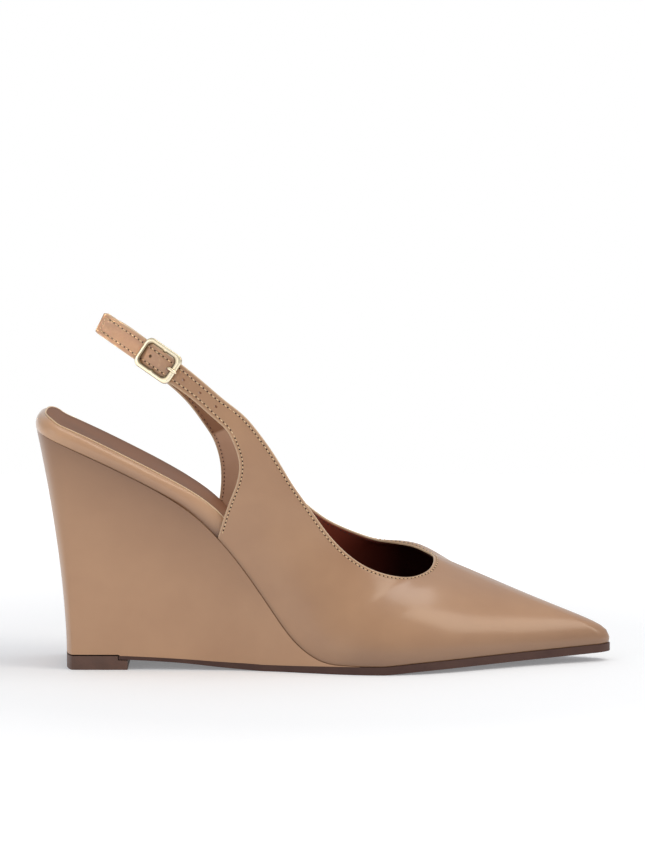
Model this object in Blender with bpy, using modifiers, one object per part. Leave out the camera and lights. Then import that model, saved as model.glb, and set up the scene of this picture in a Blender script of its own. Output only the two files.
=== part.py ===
"""Wedge slingback pump for the right foot, standing empty on its heel lift and tread.

The shoe is drawn as a maker draws it: a sample last in millimetres, given by short tables with a row for each
section, which is then graded to the driving sizes below. On the last, x runs from the back of the heel to the
toe tip, -y is the outer side of the foot, +y the inner side, and z is the height over the floor.
"""

import math

import bmesh
import bpy
import numpy as np
from mathutils import Matrix, Vector

MM = 0.001

# Driving sizes, in metres
LENGTH = 0.232           # heel to toe tip, in plan
BALL_WIDTH = 0.077       # across the joints of the foot
HEEL_HEIGHT = 0.1036     # floor to the back of the heel seat
INSTEP_HEIGHT = 0.0425   # floor to the front of the throat

# The same sizes on the sample last, in millimetres
SAMPLE_LENGTH = 232.0
SAMPLE_BALL_WIDTH = 77.0
SAMPLE_HEEL_HEIGHT = 103.6
SAMPLE_INSTEP_HEIGHT = 42.5

# Thicknesses and clearances on the sample last, in millimetres
GAP = 0.3                # between pieces that meet
FOOT_GAP = 0.4           # under the upper's foot, whose inner edge hangs a little lower
WALL = 1.5               # leather and lining of the upper
STRAP_WIDTH = 9.4
TAIL_CORNER = 1.2        # rounding of the strap's loose end
INSOLE_THICKNESS = 1.6
SOLE_EDGE = 0.2          # how far the sole stands out under the upper
RIM_DROP = 0.1           # top of the heel seat's rim under the insole's face
RIM_TOP = 0.35           # flat top of that rim, as a share of its width
RIM_TURN = 0.8           # how far its outside turns over, as a share of half a round
LIFT_HEIGHT = 5.6
LIFT_ROUNDING = 0.8
HEEL_ROUND = 12.0        # depth of the rounded heel end, in plan
HEEL_SQUARE = 3.0        # power of that round: 2 is an ellipse, more is squarer
TOE_ROUND = 5.0          # depth of the rounded toe tip, in plan
TIP_TURN = 0.08          # where the sections end before the middle of either tip, as a turn in radians
HEEL_LEAN = 6.8          # how far the wedge's back runs forward on its way down, beyond its tuck
LEAN_REACH = 60.0        # where that lean has died out
WEDGE_HOLLOW = 1.6       # power of the hollow curve down the wedge's side

# Where pieces start and stop along the last, in millimetres
LIFT_FRONT = 37.0
OUTSOLE_REAR = 33.4
WEDGE_FRONT = 116.0
RAND_FRONT = 118.0
INSOLE_TOE = 221.0
HEEL_FRONT = 28.0        # where the profile of the sole begins
FOREPART = 150.0         # where the profiles of the arch have run out on the flat forepart
TOE_START = 224.0        # last section before the rounded toe tip
EDGE_START = 100.0       # where the sole begins to stand out under the upper
EDGE_RUN = 20.0          # how far it takes to do so
RIM_END = 86.0           # where the heel seat's rim has sunk away under the insole
RIM_RUN = 9.0            # how far it takes to do so
REAR_CORNER_OUTER = 73.3
REAR_CORNER_INNER = 71.0

# Shape of the upper's wall between its foot and its top line
STRAP_REACH = 0.58       # flat part of a section along the straps, as a share of its spread
FOOT_LEAN = 0.09         # outward lean of an upright section at its foot
STRAP_SWELL = 0.1        # rounding of the straps across their width
FOOT_CROWDING = 1.4      # power that sets the rows of the mesh closer together near the foot

# Buckle, in millimetres: along the strap, across it and out from it
FRAME_LENGTH = 17.6
FRAME_WIDTH = 13.1
FRAME_THICKNESS = 1.5
FRAME_CORNER = 3.2
RAIL = 1.7
REAR_BAR = 1.9
FRONT_BAR = 2.6
BAR_RADIUS = 0.6
BAR_BEND = 1.0
PRONG_RADIUS = 0.5
PRONG_START = 1.0        # from the centre bar, along the strap
PRONG_RISE = 4.9         # where it comes up through the strap
PRONG_SLOPE = 1.6        # how far along the strap that takes
PRONG_TIP = 9.5
PRONG_HOLE = (2.6, 1.9, 5.0)
EDGE_ROUNDING = 0.25


def table(columns, *rows):
    """Named columns of a short table that has a row for each section."""
    return dict(zip(columns.split(), np.array(rows, float).T))


# Outline of the last in plan: half its width, and how far its middle lies towards the inner side
PLAN = table(
    "along half axis",
    (0, 27.8, 0.0), (14, 28.4, 0.0), (30, 28.5, 0.0), (50, 27.9, -0.1), (75, 26.9, -0.8),
    (92, 27.4, -1.2), (110, 31.2, -1.4), (127, 36.2, -1.0), (142, 38.5, 0.0), (158, 36.6, 1.5),
    (175, 29.8, 3.0), (192, 21.2, 4.1), (210, 12.9, 4.7), (222, 7.8, 4.8), (232, 3.8, 4.8))

# Feather line, where upper and heel seat meet the wedge
FEATHER = table(
    "along height",
    (0, 96.7), (8, 92.7), (24, 85.2), (38, 78.4), (54, 69.6), (63, 63.3), (72, 54.9), (80.5, 45.0),
    (88, 34.7), (95.5, 23.7), (102.5, 14.1), (110, 7.4), (117, 4.2), (124, 3.5), (130, 3.3), (150, 3.0))

# Top face of the insole
FOOTBED = table(
    "along height",
    (0, 103.6), (12, 98.0), (24, 92.4), (38, 85.5), (57, 75.5), (65, 70.6), (74, 63.3), (82, 53.8),
    (90, 42.4), (98, 29.2), (106, 17.2), (114, 9.4), (122, 6.2), (130, 5.4), (150, 4.8))

# Underside of the outsole, flat where it would run below the floor, and its thickness
TREAD = table(
    "along height thickness",
    (28, 4.3, 1.25), (36, 4.1, 1.2), (50, 3.4, 1.25), (62, 2.5, 1.45), (74, 1.25, 1.9), (88, 0.2, 2.3),
    (97, -0.3, 2.3), (110, -0.5, 2.5), (123, -0.6, 2.8), (138, -0.15, 2.95), (145, 0.4, 3.0),
    (152, 1.0, 3.0), (165, 1.65, 3.0), (190, 2.4, 3.0), (214, 3.2, 3.0), (232, 4.0, 3.0))

# How far the wedge's foot is drawn in under the feather line
TUCK = table(
    "along depth",
    (0, 5.0), (40, 5.0), (60, 4.3), (80, 2.8), (95, 1.2), (110, 0.2), (120, 0.0), (232, 0.0))

# Heel seat rim: its foot and its swell, and the insole's edge, measured out from the feather outline
SEAT = table(
    "along rim swell insole",
    (0, -0.4, 1.3, -2.6), (30, -0.4, 1.3, -2.6), (50, -0.6, 1.1, -2.7), (70, -2.2, 0.1, -3.7),
    (77, -2.3, 0.1, -3.7), (86, -2.5, 0.1, -3.2), (100, -2.9, 0.1, -3.8), (112, -2.7, 0.1, -3.2),
    (125, -2.5, 0.1, -2.5), (150, -2.4, 0.1, -2.4), (175, -2.4, 0.1, -2.5), (200, -2.4, 0.1, -2.8),
    (232, -2.4, 0.1, -4.0))

# Outer strap from its loose end to the back edge of the outer quarter: lower edge, then upper edge
OUTER_STRAP = table(
    "foot_along foot_across foot_height top_along top_across top_height",
    (23.3, -9.2, 134.6, 28.0, -9.6, 144.0),      # loose end
    (47.0, -19.7, 119.9, 52.5, -19.7, 127.8),    # buckle
    (61.4, -24.1, 110.0, 67.3, -23.8, 116.5),
    (70.2, -25.8, 102.5, 76.5, -25.4, 108.8),
    (76.3, -26.9, 97.2, 83.8, -26.2, 103.0),
    (79.8, -27.4, 91.4, 90.2, -26.9, 95.6),
    (81.9, -27.9, 84.0, 96.6, -27.5, 86.5),
    (80.8, -28.2, 75.6, 102.4, -28.0, 76.9),
    (77.2, -28.2, 66.2, 107.3, -28.3, 69.8))

# Vamp and quarters from the outer back corner round the toe to the inner one. foot_along lies on the
# feather line. A section with upright 1 stands up from its foot, by rise as a share of its height, and ends
# at the top line with the slope crown over reach, a share of its spread. One with upright 0 runs straight
# from foot to top, with a swell out of that line.
VAMP_COLUMNS = "foot_along top_along top_across top_height upright rise swell crown reach"
OUTER_VAMP = table(
    VAMP_COLUMNS,
    (REAR_CORNER_OUTER, 112.2, -28.5, 63.0, 0.0, 0.5, 1.0, 0.5, 0.58),
    (81.0, 117.6, -28.4, 55.6, 0.0, 0.5, 2.0, 0.5, 0.58),
    (88.5, 123.6, -27.7, 49.1, 0.0, 0.5, 3.5, 0.5, 0.58),
    (96.5, 130.0, -26.2, 43.9, 0.05, 0.5, 5.9, 0.5, 0.58),
    (106.0, 137.0, -23.6, 40.1, 0.2, 0.5, 9.2, 0.5, 0.58),
    (120.0, 144.2, -19.9, 37.7, 0.55, 0.5, 13.5, 0.48, 0.58),
    (141.0, 150.6, -15.4, 36.8, 0.9, 0.5, 16.0, 0.46, 0.58),
    (165.0, 155.3, -10.8, 37.5, 1.0, 0.47, 16.0, 0.44, 0.58),
    (189.0, 158.4, -6.6, 38.9, 1.0, 0.4, 16.0, 0.425, 0.6),
    (211.0, 159.9, -2.8, 40.5, 1.0, 0.3, 16.0, 0.43, 0.7),
    (226.5, 160.4, 0.4, 41.7, 1.0, 0.28, 16.0, 0.435, 0.82))
TOE = table(
    VAMP_COLUMNS,
    (232.0, 160.4, 3.2, 42.5, 1.0, 0.27, 16.0, 0.435, 0.9))
INNER_VAMP = table(
    VAMP_COLUMNS,
    (226.5, 160.1, 5.8, 42.9, 1.0, 0.28, 16.0, 0.43, 0.82),
    (211.0, 159.0, 8.3, 43.5, 1.0, 0.3, 16.0, 0.41, 0.7),
    (189.0, 156.6, 11.0, 44.4, 1.0, 0.4, 16.0, 0.32, 0.6),
    (165.0, 152.2, 14.2, 45.6, 1.0, 0.47, 16.0, -0.25, 0.58),
    (142.0, 145.8, 17.7, 46.4, 0.9, 0.5, 16.0, -0.6, 0.58),
    (122.0, 138.6, 20.7, 47.4, 0.7, 0.5, 12.5, -0.7, 0.58),
    (108.0, 131.3, 22.8, 49.5, 0.4, 0.5, 8.0, -0.6, 0.58),
    (97.5, 124.0, 24.2, 52.2, 0.15, 0.5, 4.8, -0.2, 0.58),
    (88.5, 116.5, 25.0, 55.9, 0.0, 0.5, 2.8, 0.5, 0.58),
    (79.7, 109.3, 25.3, 61.2, 0.0, 0.5, 1.4, 0.5, 0.58),
    (REAR_CORNER_INNER, 102.4, 25.3, 67.2, 0.0, 0.5, 0.6, 0.5, 0.58))

# Inner strap from the back edge of the inner quarter, round the heel, to its end under the buckle's bar
INNER_STRAP = table(
    "foot_along foot_across foot_height top_along top_across top_height",
    (73.1, 25.9, 64.8, 95.9, 25.0, 73.9),
    (73.7, 25.6, 74.4, 90.1, 24.6, 80.1),
    (72.7, 25.1, 82.0, 85.2, 24.2, 86.3),
    (70.3, 24.6, 88.8, 80.5, 23.8, 93.1),
    (66.9, 24.0, 95.0, 75.3, 23.2, 99.8),
    (61.3, 23.0, 103.0, 67.7, 22.4, 109.3),
    (54.4, 21.4, 110.1, 60.3, 21.0, 117.0),
    (46.6, 18.9, 116.6, 51.9, 18.6, 123.9),
    (39.2, 15.5, 122.5, 43.9, 15.2, 130.1),
    (32.2, 10.9, 128.0, 36.6, 10.7, 135.9),
    (27.2, 4.9, 132.2, 31.4, 4.8, 140.2),        # back of the heel
    (25.8, -0.9, 133.6, 30.0, -0.9, 141.6),
    (27.7, -5.8, 132.6, 31.9, -5.8, 140.6),
    (32.4, -9.8, 129.7, 36.8, -9.8, 137.5),
    (39.6, -13.1, 125.4, 44.2, -13.1, 133.0),
    (48.2, -15.4, 119.8, 53.3, -15.4, 127.2))    # end under the bar

OUTER = -1
INNER = 1


def grade(points):
    """Carry points from the sample last, in millimetres, to the driving sizes, in metres."""
    sizes = np.array((LENGTH, BALL_WIDTH, HEEL_HEIGHT))
    sample = np.array((SAMPLE_LENGTH, SAMPLE_BALL_WIDTH, SAMPLE_HEEL_HEIGHT))
    return np.asarray(points, float) * sizes / sample


def spline(knots, values, at):
    """Smooth cubic curve through the values, one row for each knot, read at the places in at."""
    knots = np.asarray(knots, float)
    values = np.asarray(values, float)
    at = np.asarray(at, float)
    column = (-1,) + (1,) * (values.ndim - 1)
    step = np.diff(knots)
    slope = np.diff(values, axis=0) / step.reshape(column)
    system = np.eye(len(knots))
    target = np.zeros_like(values)
    for i in range(1, len(knots) - 1):
        system[i, i - 1:i + 2] = step[i - 1], 2 * (step[i - 1] + step[i]), step[i]
        target[i] = 6 * (slope[i] - slope[i - 1])
    bend = np.linalg.solve(system, target)
    i = np.clip(np.searchsorted(knots, at, side="right") - 1, 0, len(step) - 1)
    t = (at - knots[i]).reshape(column)
    h = step[i].reshape(column)
    first = slope[i] - h * (2 * bend[i] + bend[i + 1]) / 6
    return values[i] + t * (first + t * (bend[i] / 2 + t * (bend[i + 1] - bend[i]) / (6 * h)))


def read(rows, column, at):
    """One column of a table along the last."""
    return spline(rows["along"], rows[column], at)


# The last and its profiles, all in millimetres on the sample


def round_off(x):
    """Share of the width that is left where the outline turns in at the heel and the toe."""
    heel = np.clip((HEEL_ROUND - x) / HEEL_ROUND, 0, 1) ** HEEL_SQUARE
    toe = np.clip((x - SAMPLE_LENGTH + TOE_ROUND) / TOE_ROUND, 0, 1)
    return (1 - heel) ** (1 / HEEL_SQUARE) * np.sqrt(1 - toe ** 2)


def plan_edge(x, side):
    return read(PLAN, "axis", x) + side * read(PLAN, "half", x) * round_off(x)


def outline(x, side, out=0.0):
    """Points of the feather outline in plan on one side, moved outwards by a distance."""
    x = np.clip(np.asarray(x, float), 0, SAMPLE_LENGTH)
    step = 0.01
    before = np.clip(x - step, 0, SAMPLE_LENGTH)
    after = np.clip(x + step, 0, SAMPLE_LENGTH)
    run = after - before
    rise = plan_edge(after, side) - plan_edge(before, side)
    size = np.hypot(run, rise)
    return np.stack([x - side * out * rise / size, plan_edge(x, side) + side * out * run / size], axis=-1)


def sole_bottom(x):
    return np.maximum(read(TREAD, "height", x), 0.0)


def sole_top(x):
    return sole_bottom(x) + read(TREAD, "thickness", x)


def feather(x):
    rest = sole_top(np.maximum(x, HEEL_FRONT)) + FOOT_GAP
    return np.maximum(read(FEATHER, "height", np.minimum(x, FOREPART)), rest)


def footbed(x):
    rest = sole_top(np.maximum(x, HEEL_FRONT)) + GAP + INSOLE_THICKNESS
    return np.maximum(read(FOOTBED, "height", np.minimum(x, FOREPART)), rest)


def below(profile, x, depth):
    """A profile moved down by a depth measured square to its slope."""
    step = 0.5
    slope = (profile(x + step) - profile(x - step)) / (2 * step)
    return profile(x) - depth * np.sqrt(1 + slope ** 2)


def wedge_bottom(x):
    lift = np.where(x < LIFT_FRONT, LIFT_HEIGHT, 0.0)
    return np.maximum(lift, sole_top(np.maximum(x, HEEL_FRONT))) + GAP


def foot_outline(x, side, share=1.0, out=0.0):
    """Outline of the wedge's side: share 0 is the feather line, share 1 the foot, drawn in and leaning."""
    points = outline(x, side, out - share * np.maximum(read(TUCK, "depth", x), 0))
    points[:, 0] += share * HEEL_LEAN * np.clip(1 - x / LEAN_REACH, 0, 1) ** 2
    return points


def station_of(place):
    """Station on the feather line whose foot on the floor lies at this place along the shoe."""
    x = np.linspace(0, LEAN_REACH, 200)
    return np.interp(place, foot_outline(x, OUTER)[:, 0], x)


def heel_stations(count):
    turn = np.linspace(TIP_TURN, math.pi / 2, count)
    return HEEL_ROUND * (1 - np.cos(turn) ** (2 / HEEL_SQUARE))


def toe_stations(count):
    return SAMPLE_LENGTH - TOE_ROUND * (1 - np.sin(np.linspace(0, math.pi / 2 - TIP_TURN, count)))


def stations(*runs):
    """Places along the last, in order, with none repeated."""
    return np.unique(np.round(np.concatenate(runs), 4))


# Mesh helpers


def grid_faces(rows, columns):
    """Quads between neighbouring rows of a grid of points."""
    index = np.arange(rows * columns).reshape(rows, columns)
    quads = [index[:-1, :-1], index[1:, :-1], index[1:, 1:], index[:-1, 1:]]
    return np.stack([quad.ravel() for quad in quads], axis=1).tolist()


def loft(sections):
    """Closed skin over sections that go up the outer side and down the inner one, capped at both ends."""
    count, ring = sections.shape[:2]
    index = np.arange(count * ring).reshape(count, ring)
    faces = grid_faces(count, ring)
    faces += np.stack([index[:-1, -1], index[1:, -1], index[1:, 0], index[:-1, 0]], axis=1).tolist()
    for k in range(ring // 2 - 1):
        low, high = k, k + 1
        faces.append(index[0, [low, high, -1 - high, -1 - low]].tolist())
        faces.append(index[-1, [-1 - low, -1 - high, high, low]].tolist())
    return sections.reshape(-1, 3), faces


def side_by_side(outer, inner):
    """Closed sections from columns of points going up the outer side and the inner side."""
    return np.concatenate([outer, inner[:, ::-1]], axis=1)


def make_object(name, points, faces, material, smooth_angle=35):
    """Mesh object in the shoe's collection, with its sharp edges marked."""
    mesh = bpy.data.meshes.new(name)
    mesh.from_pydata(grade(points).tolist(), [], faces)
    mesh.shade_smooth()
    mesh.set_sharp_from_angle(angle=math.radians(smooth_angle))
    mesh.materials.append(material)
    piece = bpy.data.objects.new(name, mesh)
    shoe.objects.link(piece)
    piece.parent = root
    return piece


def curve_object(name, outlines, radius=0.0, half_thickness=0.0, closed=False):
    """Round wire, or flat plate with its inner outlines left open, as a curve in its own plane."""
    curve = bpy.data.curves.new(name, "CURVE")
    curve.dimensions = "2D" if half_thickness else "3D"
    curve.fill_mode = "BOTH" if half_thickness else "FULL"
    curve.extrude = half_thickness
    curve.bevel_depth = radius
    curve.bevel_resolution = 2
    curve.use_fill_caps = True
    for points in outlines:
        run = curve.splines.new("POLY")
        run.points.add(len(points) - 1)
        for knot, place in zip(run.points, points):
            knot.co = (*place, 1.0)
        run.use_cyclic_u = closed
    return bpy.data.objects.new(name, curve)


def as_mesh(curve, place, collection, name, material=None):
    """Closed mesh object made from a curve, which is then removed."""
    shoe.objects.link(curve)
    depsgraph = bpy.context.evaluated_depsgraph_get()
    mesh = bpy.data.meshes.new_from_object(curve.evaluated_get(depsgraph))
    mesh.name = name
    tidy = bmesh.new()
    tidy.from_mesh(mesh)
    bmesh.ops.remove_doubles(tidy, verts=tidy.verts, dist=0.00001)
    bmesh.ops.recalc_face_normals(tidy, faces=tidy.faces)
    tidy.to_mesh(mesh)
    tidy.free()
    bpy.data.objects.remove(curve)
    mesh.materials.clear()
    if material:
        mesh.materials.append(material)
    piece = bpy.data.objects.new(name, mesh)
    collection.objects.link(piece)
    piece.parent = root
    piece.matrix_basis = place
    return piece


def hide_cutter(cutter):
    cutter.hide_render = True
    cutter.display_type = "WIRE"


def round_edges(piece, width, segments=2):
    bevel = piece.modifiers.new("rounded edges", "BEVEL")
    bevel.width = width * MM
    bevel.segments = segments
    bevel.limit_method = "ANGLE"
    bevel.angle_limit = math.radians(50)


def boolean(piece, cutter, operation):
    cut = piece.modifiers.new(cutter.name, "BOOLEAN")
    cut.operation = operation
    cut.object = cutter
    hide_cutter(cutter)


def linear(hex_colour):
    """Linear colour from an sRGB hex value."""
    shares = [int(hex_colour[i:i + 2], 16) / 255 for i in (1, 3, 5)]
    return [c / 12.92 if c <= 0.04045 else ((c + 0.055) / 1.055) ** 2.4 for c in shares] + [1.0]


def make_material(name, hex_colour, roughness, metallic=0.0):
    material = bpy.data.materials.new(name)
    material.use_nodes = True
    shader = material.node_tree.nodes["Principled BSDF"]
    shader.inputs["Base Color"].default_value = linear(hex_colour)
    shader.inputs["Roughness"].default_value = roughness
    shader.inputs["Metallic"].default_value = metallic
    material.diffuse_color = linear(hex_colour)
    return material


# Sole, heel and insole


def build_outsole(material):
    """Thin sole from the heel lift to the toe, with its tread flat on the floor and the toe sprung up."""
    start = float(station_of(OUTSOLE_REAR))
    x = stations(np.linspace(start, FOREPART, 26), np.linspace(FOREPART, TOE_START, 20), toe_stations(6))
    columns = []
    for side in (OUTER, INNER):
        edge = foot_outline(x, side, out=SOLE_EDGE * np.clip((x - EDGE_START) / EDGE_RUN, 0, 1))
        low = sole_bottom(edge[:, 0])
        high = sole_top(edge[:, 0])
        columns.append(np.stack([np.column_stack([edge, low]), np.column_stack([edge, high])], axis=1))
    return make_object("outsole", *loft(side_by_side(*columns)), material)


def build_heel_lift(material):
    """Top piece with a rebate in front, where the end of the outsole lies on it."""
    step = OUTSOLE_REAR - GAP
    places = np.array([step, step, LIFT_FRONT])
    x = np.concatenate([heel_stations(14), [HEEL_FRONT], station_of(places)])
    high = np.full(len(x), LIFT_HEIGHT)
    high[-2:] = sole_bottom(places[-2:]) - GAP
    columns = []
    for side in (OUTER, INNER):
        edge = foot_outline(x, side)
        floor = np.column_stack([edge, np.zeros(len(x))])
        columns.append(np.stack([floor, np.column_stack([edge, high])], axis=1))
    lift = make_object("heel_lift", *loft(side_by_side(*columns)), material)
    round_edges(lift, LIFT_ROUNDING)
    return lift


def build_wedge(material):
    """Wedge heel: its top follows the feather line, its sides run in along a hollow curve to the sole."""
    x = stations(heel_stations(14), np.linspace(HEEL_ROUND, WEDGE_FRONT, 33))
    columns = []
    for side in (OUTER, INNER):
        levels = []
        for depth in np.linspace(1, 0, 9):
            share = 1 - (1 - depth) ** WEDGE_HOLLOW
            edge = foot_outline(x, side, share)
            foot = foot_outline(x, side)
            high = below(feather, x, GAP)
            low = wedge_bottom(foot[:, 0])
            levels.append(np.column_stack([edge, high + (low - high) * depth]))
        columns.append(np.stack(levels, axis=1))
    return make_object("wedge", *loft(side_by_side(*columns)), material)


def build_seat_rand(material):
    """Padded rim of the heel seat: it swells over the wedge, holds the insole, and thins under the arch."""
    x = stations(heel_stations(14), np.linspace(HEEL_ROUND, RAND_FRONT, 35))
    rim = read(SEAT, "rim", x)
    swell = read(SEAT, "swell", x)
    recess = read(SEAT, "insole", x) + FOOT_GAP
    low = feather(x)
    floor = below(footbed, x, INSOLE_THICKNESS + GAP)
    exposed = np.clip((RIM_END - x) / RIM_RUN, 0, 1)
    high = floor + (below(footbed, x, RIM_DROP) - floor) * exposed
    recess = rim + (recess - rim) * exposed - GAP * (1 - exposed)
    columns = []
    for side in (OUTER, INNER):
        levels = []
        for turn in np.linspace(0, math.pi * RIM_TURN, 6):
            edge = outline(x, side, rim + swell * math.sin(turn))
            levels.append(np.column_stack([edge, low + (high - low) * (1 - math.cos(turn)) / 2]))
        levels.append(np.column_stack([outline(x, side, rim + (recess - rim) * RIM_TOP), high]))
        levels.append(np.column_stack([outline(x, side, recess), (floor + high) / 2]))
        levels.append(np.column_stack([outline(x, side, recess), floor]))
        columns.append(np.stack(levels, axis=1))
    return make_object("seat_rand", *loft(side_by_side(*columns)), material)


def build_insole(material):
    """Insole along the whole foot: over the heel seat, down the arch and flat on the sole to the toe."""
    x = stations(
        heel_stations(12), np.linspace(HEEL_ROUND, FOREPART, 44), np.linspace(FOREPART, INSOLE_TOE, 16))
    out = read(SEAT, "insole", x)
    columns = []
    for side in (OUTER, INNER):
        edge = outline(x, side, out)
        high = footbed(x)
        low = below(footbed, x, INSOLE_THICKNESS)
        columns.append(np.stack([np.column_stack([edge, low]), np.column_stack([edge, high])], axis=1))
    return make_object("insole", *loft(side_by_side(*columns)), material)


# Upper


def strap_rows(rows, part):
    """Lower or upper edge of a strap, as points."""
    return np.column_stack([rows[part + "_along"], rows[part + "_across"], rows[part + "_height"]])


def feather_points(x, side):
    x = np.minimum(x, SAMPLE_LENGTH)
    return np.column_stack([outline(x, side), feather(x)])


VAMP = {name: np.concatenate([part[name] for part in (OUTER_VAMP, TOE, INNER_VAMP)]) for name in TOE}
FIRST_VAMP_ROW = len(OUTER_STRAP["foot_along"])
TOE_ROW = FIRST_VAMP_ROW + len(OUTER_VAMP["foot_along"])
LAST_VAMP_ROW = TOE_ROW + len(INNER_VAMP["foot_along"])
LAST_ROW = LAST_VAMP_ROW + len(INNER_STRAP["foot_along"])
QUARTER_ROWS = 4         # rows at the quarter's back edge, between vamp and strap
BUCKLE_ROW = 1.0
TAIL_LENGTH = 28.0       # along the strap, from its loose end to the buckle


def foot_edge(u):
    """Lower edge: strap, back edge of the quarter, feather line round the toe, and back again."""
    corner_outer = feather_points(VAMP["foot_along"][:1], OUTER)
    corner_inner = feather_points(VAMP["foot_along"][-1:], INNER)
    first = np.concatenate([strap_rows(OUTER_STRAP, "foot"), corner_outer])
    last = np.concatenate([corner_inner, strap_rows(INNER_STRAP, "foot")])
    vamp_rows = np.arange(FIRST_VAMP_ROW, LAST_VAMP_ROW + 1)
    along = spline(vamp_rows, VAMP["foot_along"], np.clip(u, FIRST_VAMP_ROW, LAST_VAMP_ROW))
    outer_run = spline(np.arange(FIRST_VAMP_ROW + 1), first, np.minimum(u, FIRST_VAMP_ROW))
    inner_run = spline(np.arange(LAST_VAMP_ROW, LAST_ROW + 1), last, np.maximum(u, LAST_VAMP_ROW))
    choices = [u < FIRST_VAMP_ROW, u < TOE_ROW, u <= LAST_VAMP_ROW]
    runs = [outer_run, feather_points(along, OUTER), feather_points(along, INNER)]
    return np.select([choice[:, None] for choice in choices], runs, inner_run)


def top_edge(u):
    """Upper edge: strap, top line, throat, and back to the sling."""
    rise = INSTEP_HEIGHT / SAMPLE_INSTEP_HEIGHT * SAMPLE_HEEL_HEIGHT / HEEL_HEIGHT
    vamp = np.column_stack([VAMP["top_along"], VAMP["top_across"], VAMP["top_height"] * rise])
    rows = np.concatenate([strap_rows(OUTER_STRAP, "top"), vamp, strap_rows(INNER_STRAP, "top")])
    return spline(np.arange(LAST_ROW + 1), rows, u)


def vamp_column(name, u, strap_value):
    """A shape column of the vamp, which runs out to a fixed value along the straps."""
    rows = np.arange(FIRST_VAMP_ROW, LAST_VAMP_ROW + 1)
    places = np.concatenate([[FIRST_VAMP_ROW - QUARTER_ROWS], rows, [LAST_VAMP_ROW + QUARTER_ROWS]])
    values = np.concatenate([[strap_value], VAMP[name], [strap_value]])
    return spline(places, values, np.clip(u, places[0], places[-1]))[:, None]


def outward(points):
    """Level direction square to a run of points that goes round the shoe by way of the toe."""
    run = np.gradient(points, axis=0)
    level = np.column_stack([run[:, 1], -run[:, 0], np.zeros(len(run))])
    return level / np.maximum(np.linalg.norm(level, axis=1, keepdims=True), 1e-9)


def upper_surface(u, v):
    """Outer face. Each section is a cubic curve from its foot (v = 0) to its top line (v = 1)."""
    foot = foot_edge(u)
    top = top_edge(u)
    upright = vamp_column("upright", u, 0.0)
    rise = vamp_column("rise", u, 0.5)
    swell = vamp_column("swell", u, STRAP_SWELL)
    crown = vamp_column("crown", u, 0.5)
    reach = vamp_column("reach", u, STRAP_REACH)
    chord = top - foot
    spread = foot - top
    spread[:, 2] = 0
    distance = np.linalg.norm(spread, axis=1, keepdims=True)
    up = np.array([0.0, 0.0, 1.0])
    facing = outward(top) * (1 - upright) + outward(foot) * upright
    standing = (up + facing * FOOT_LEAN) * chord[:, 2:] * rise
    flat = (spread - up * crown * distance) * reach
    lower = (chord / 3 + facing * swell) * (1 - upright) + standing * upright
    upper = (facing * swell - chord / 3) * (1 - upright) + flat * upright
    v = np.asarray(v)[None, :, None]
    handles = [foot, foot + lower, top + upper, top]
    weights = [(1 - v) ** 3, 3 * v * (1 - v) ** 2, 3 * v ** 2 * (1 - v), v ** 3]
    surface = sum(weight * handle[:, None, :] for weight, handle in zip(weights, handles))
    return round_tail(surface, u)


def round_tail(surface, u):
    """Round the two corners of the strap's loose end."""
    left = np.clip(TAIL_CORNER - u * TAIL_LENGTH, 0, TAIL_CORNER)
    half = STRAP_WIDTH / 2
    share = (half - TAIL_CORNER + np.sqrt(TAIL_CORNER ** 2 - left ** 2)) / half
    middle = (surface[:, :1] + surface[:, -1:]) / 2
    return middle + (surface - middle) * share[:, None, None]


def build_upper(material):
    """One leather wall: vamp, both quarters, the strap end through the buckle, and the sling."""
    tail = TAIL_CORNER / TAIL_LENGTH * np.array([0, 0.08, 0.25, 0.55, 1])
    u = np.concatenate([
        tail,
        np.linspace(0.2, FIRST_VAMP_ROW, 26),
        np.linspace(FIRST_VAMP_ROW, TOE_ROW - 2, 27)[1:],
        np.linspace(TOE_ROW - 2, TOE_ROW + 2, 21)[1:],
        np.linspace(TOE_ROW + 2, LAST_VAMP_ROW, 27)[1:],
        np.linspace(LAST_VAMP_ROW, LAST_ROW, 41)[1:]])
    v = np.linspace(0, 1, 9) ** FOOT_CROWDING
    surface = upper_surface(u, v)
    upper = make_object("upper", surface.reshape(-1, 3), grid_faces(len(u), len(v)), material)
    wall = upper.modifiers.new("wall", "SOLIDIFY")
    wall.thickness = WALL * MM
    wall.offset = -1.0
    return upper


# Buckle


def buckle_place():
    """Frame on the strap's outer face at the buckle: x along the strap, y across it, z out from it."""
    near = 0.05
    centre, ahead = grade(upper_surface(np.array([BUCKLE_ROW, BUCKLE_ROW + near]), [0, 0.5, 1]))
    along = Vector(ahead[1] - centre[1]).normalized()
    across = Vector(centre[2] - centre[0])
    across = (across - along * across.dot(along)).normalized()
    out = along.cross(across)
    turn = Matrix((along, across, out)).transposed().to_4x4()
    return Matrix.Translation(Vector(centre[1])) @ turn


def rounded_rectangle(rear, front, half_width, radius):
    """Corner points of a flat outline with round corners."""
    points = []
    centres = [(front - radius, half_width - radius), (rear + radius, half_width - radius),
               (rear + radius, radius - half_width), (front - radius, radius - half_width)]
    for quarter, (x, y) in enumerate(centres):
        for turn in np.linspace(0, math.pi / 2, 6) + quarter * math.pi / 2:
            points.append(((x + radius * math.cos(turn)) * MM, (y + radius * math.sin(turn)) * MM, 0.0))
    return points


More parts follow.
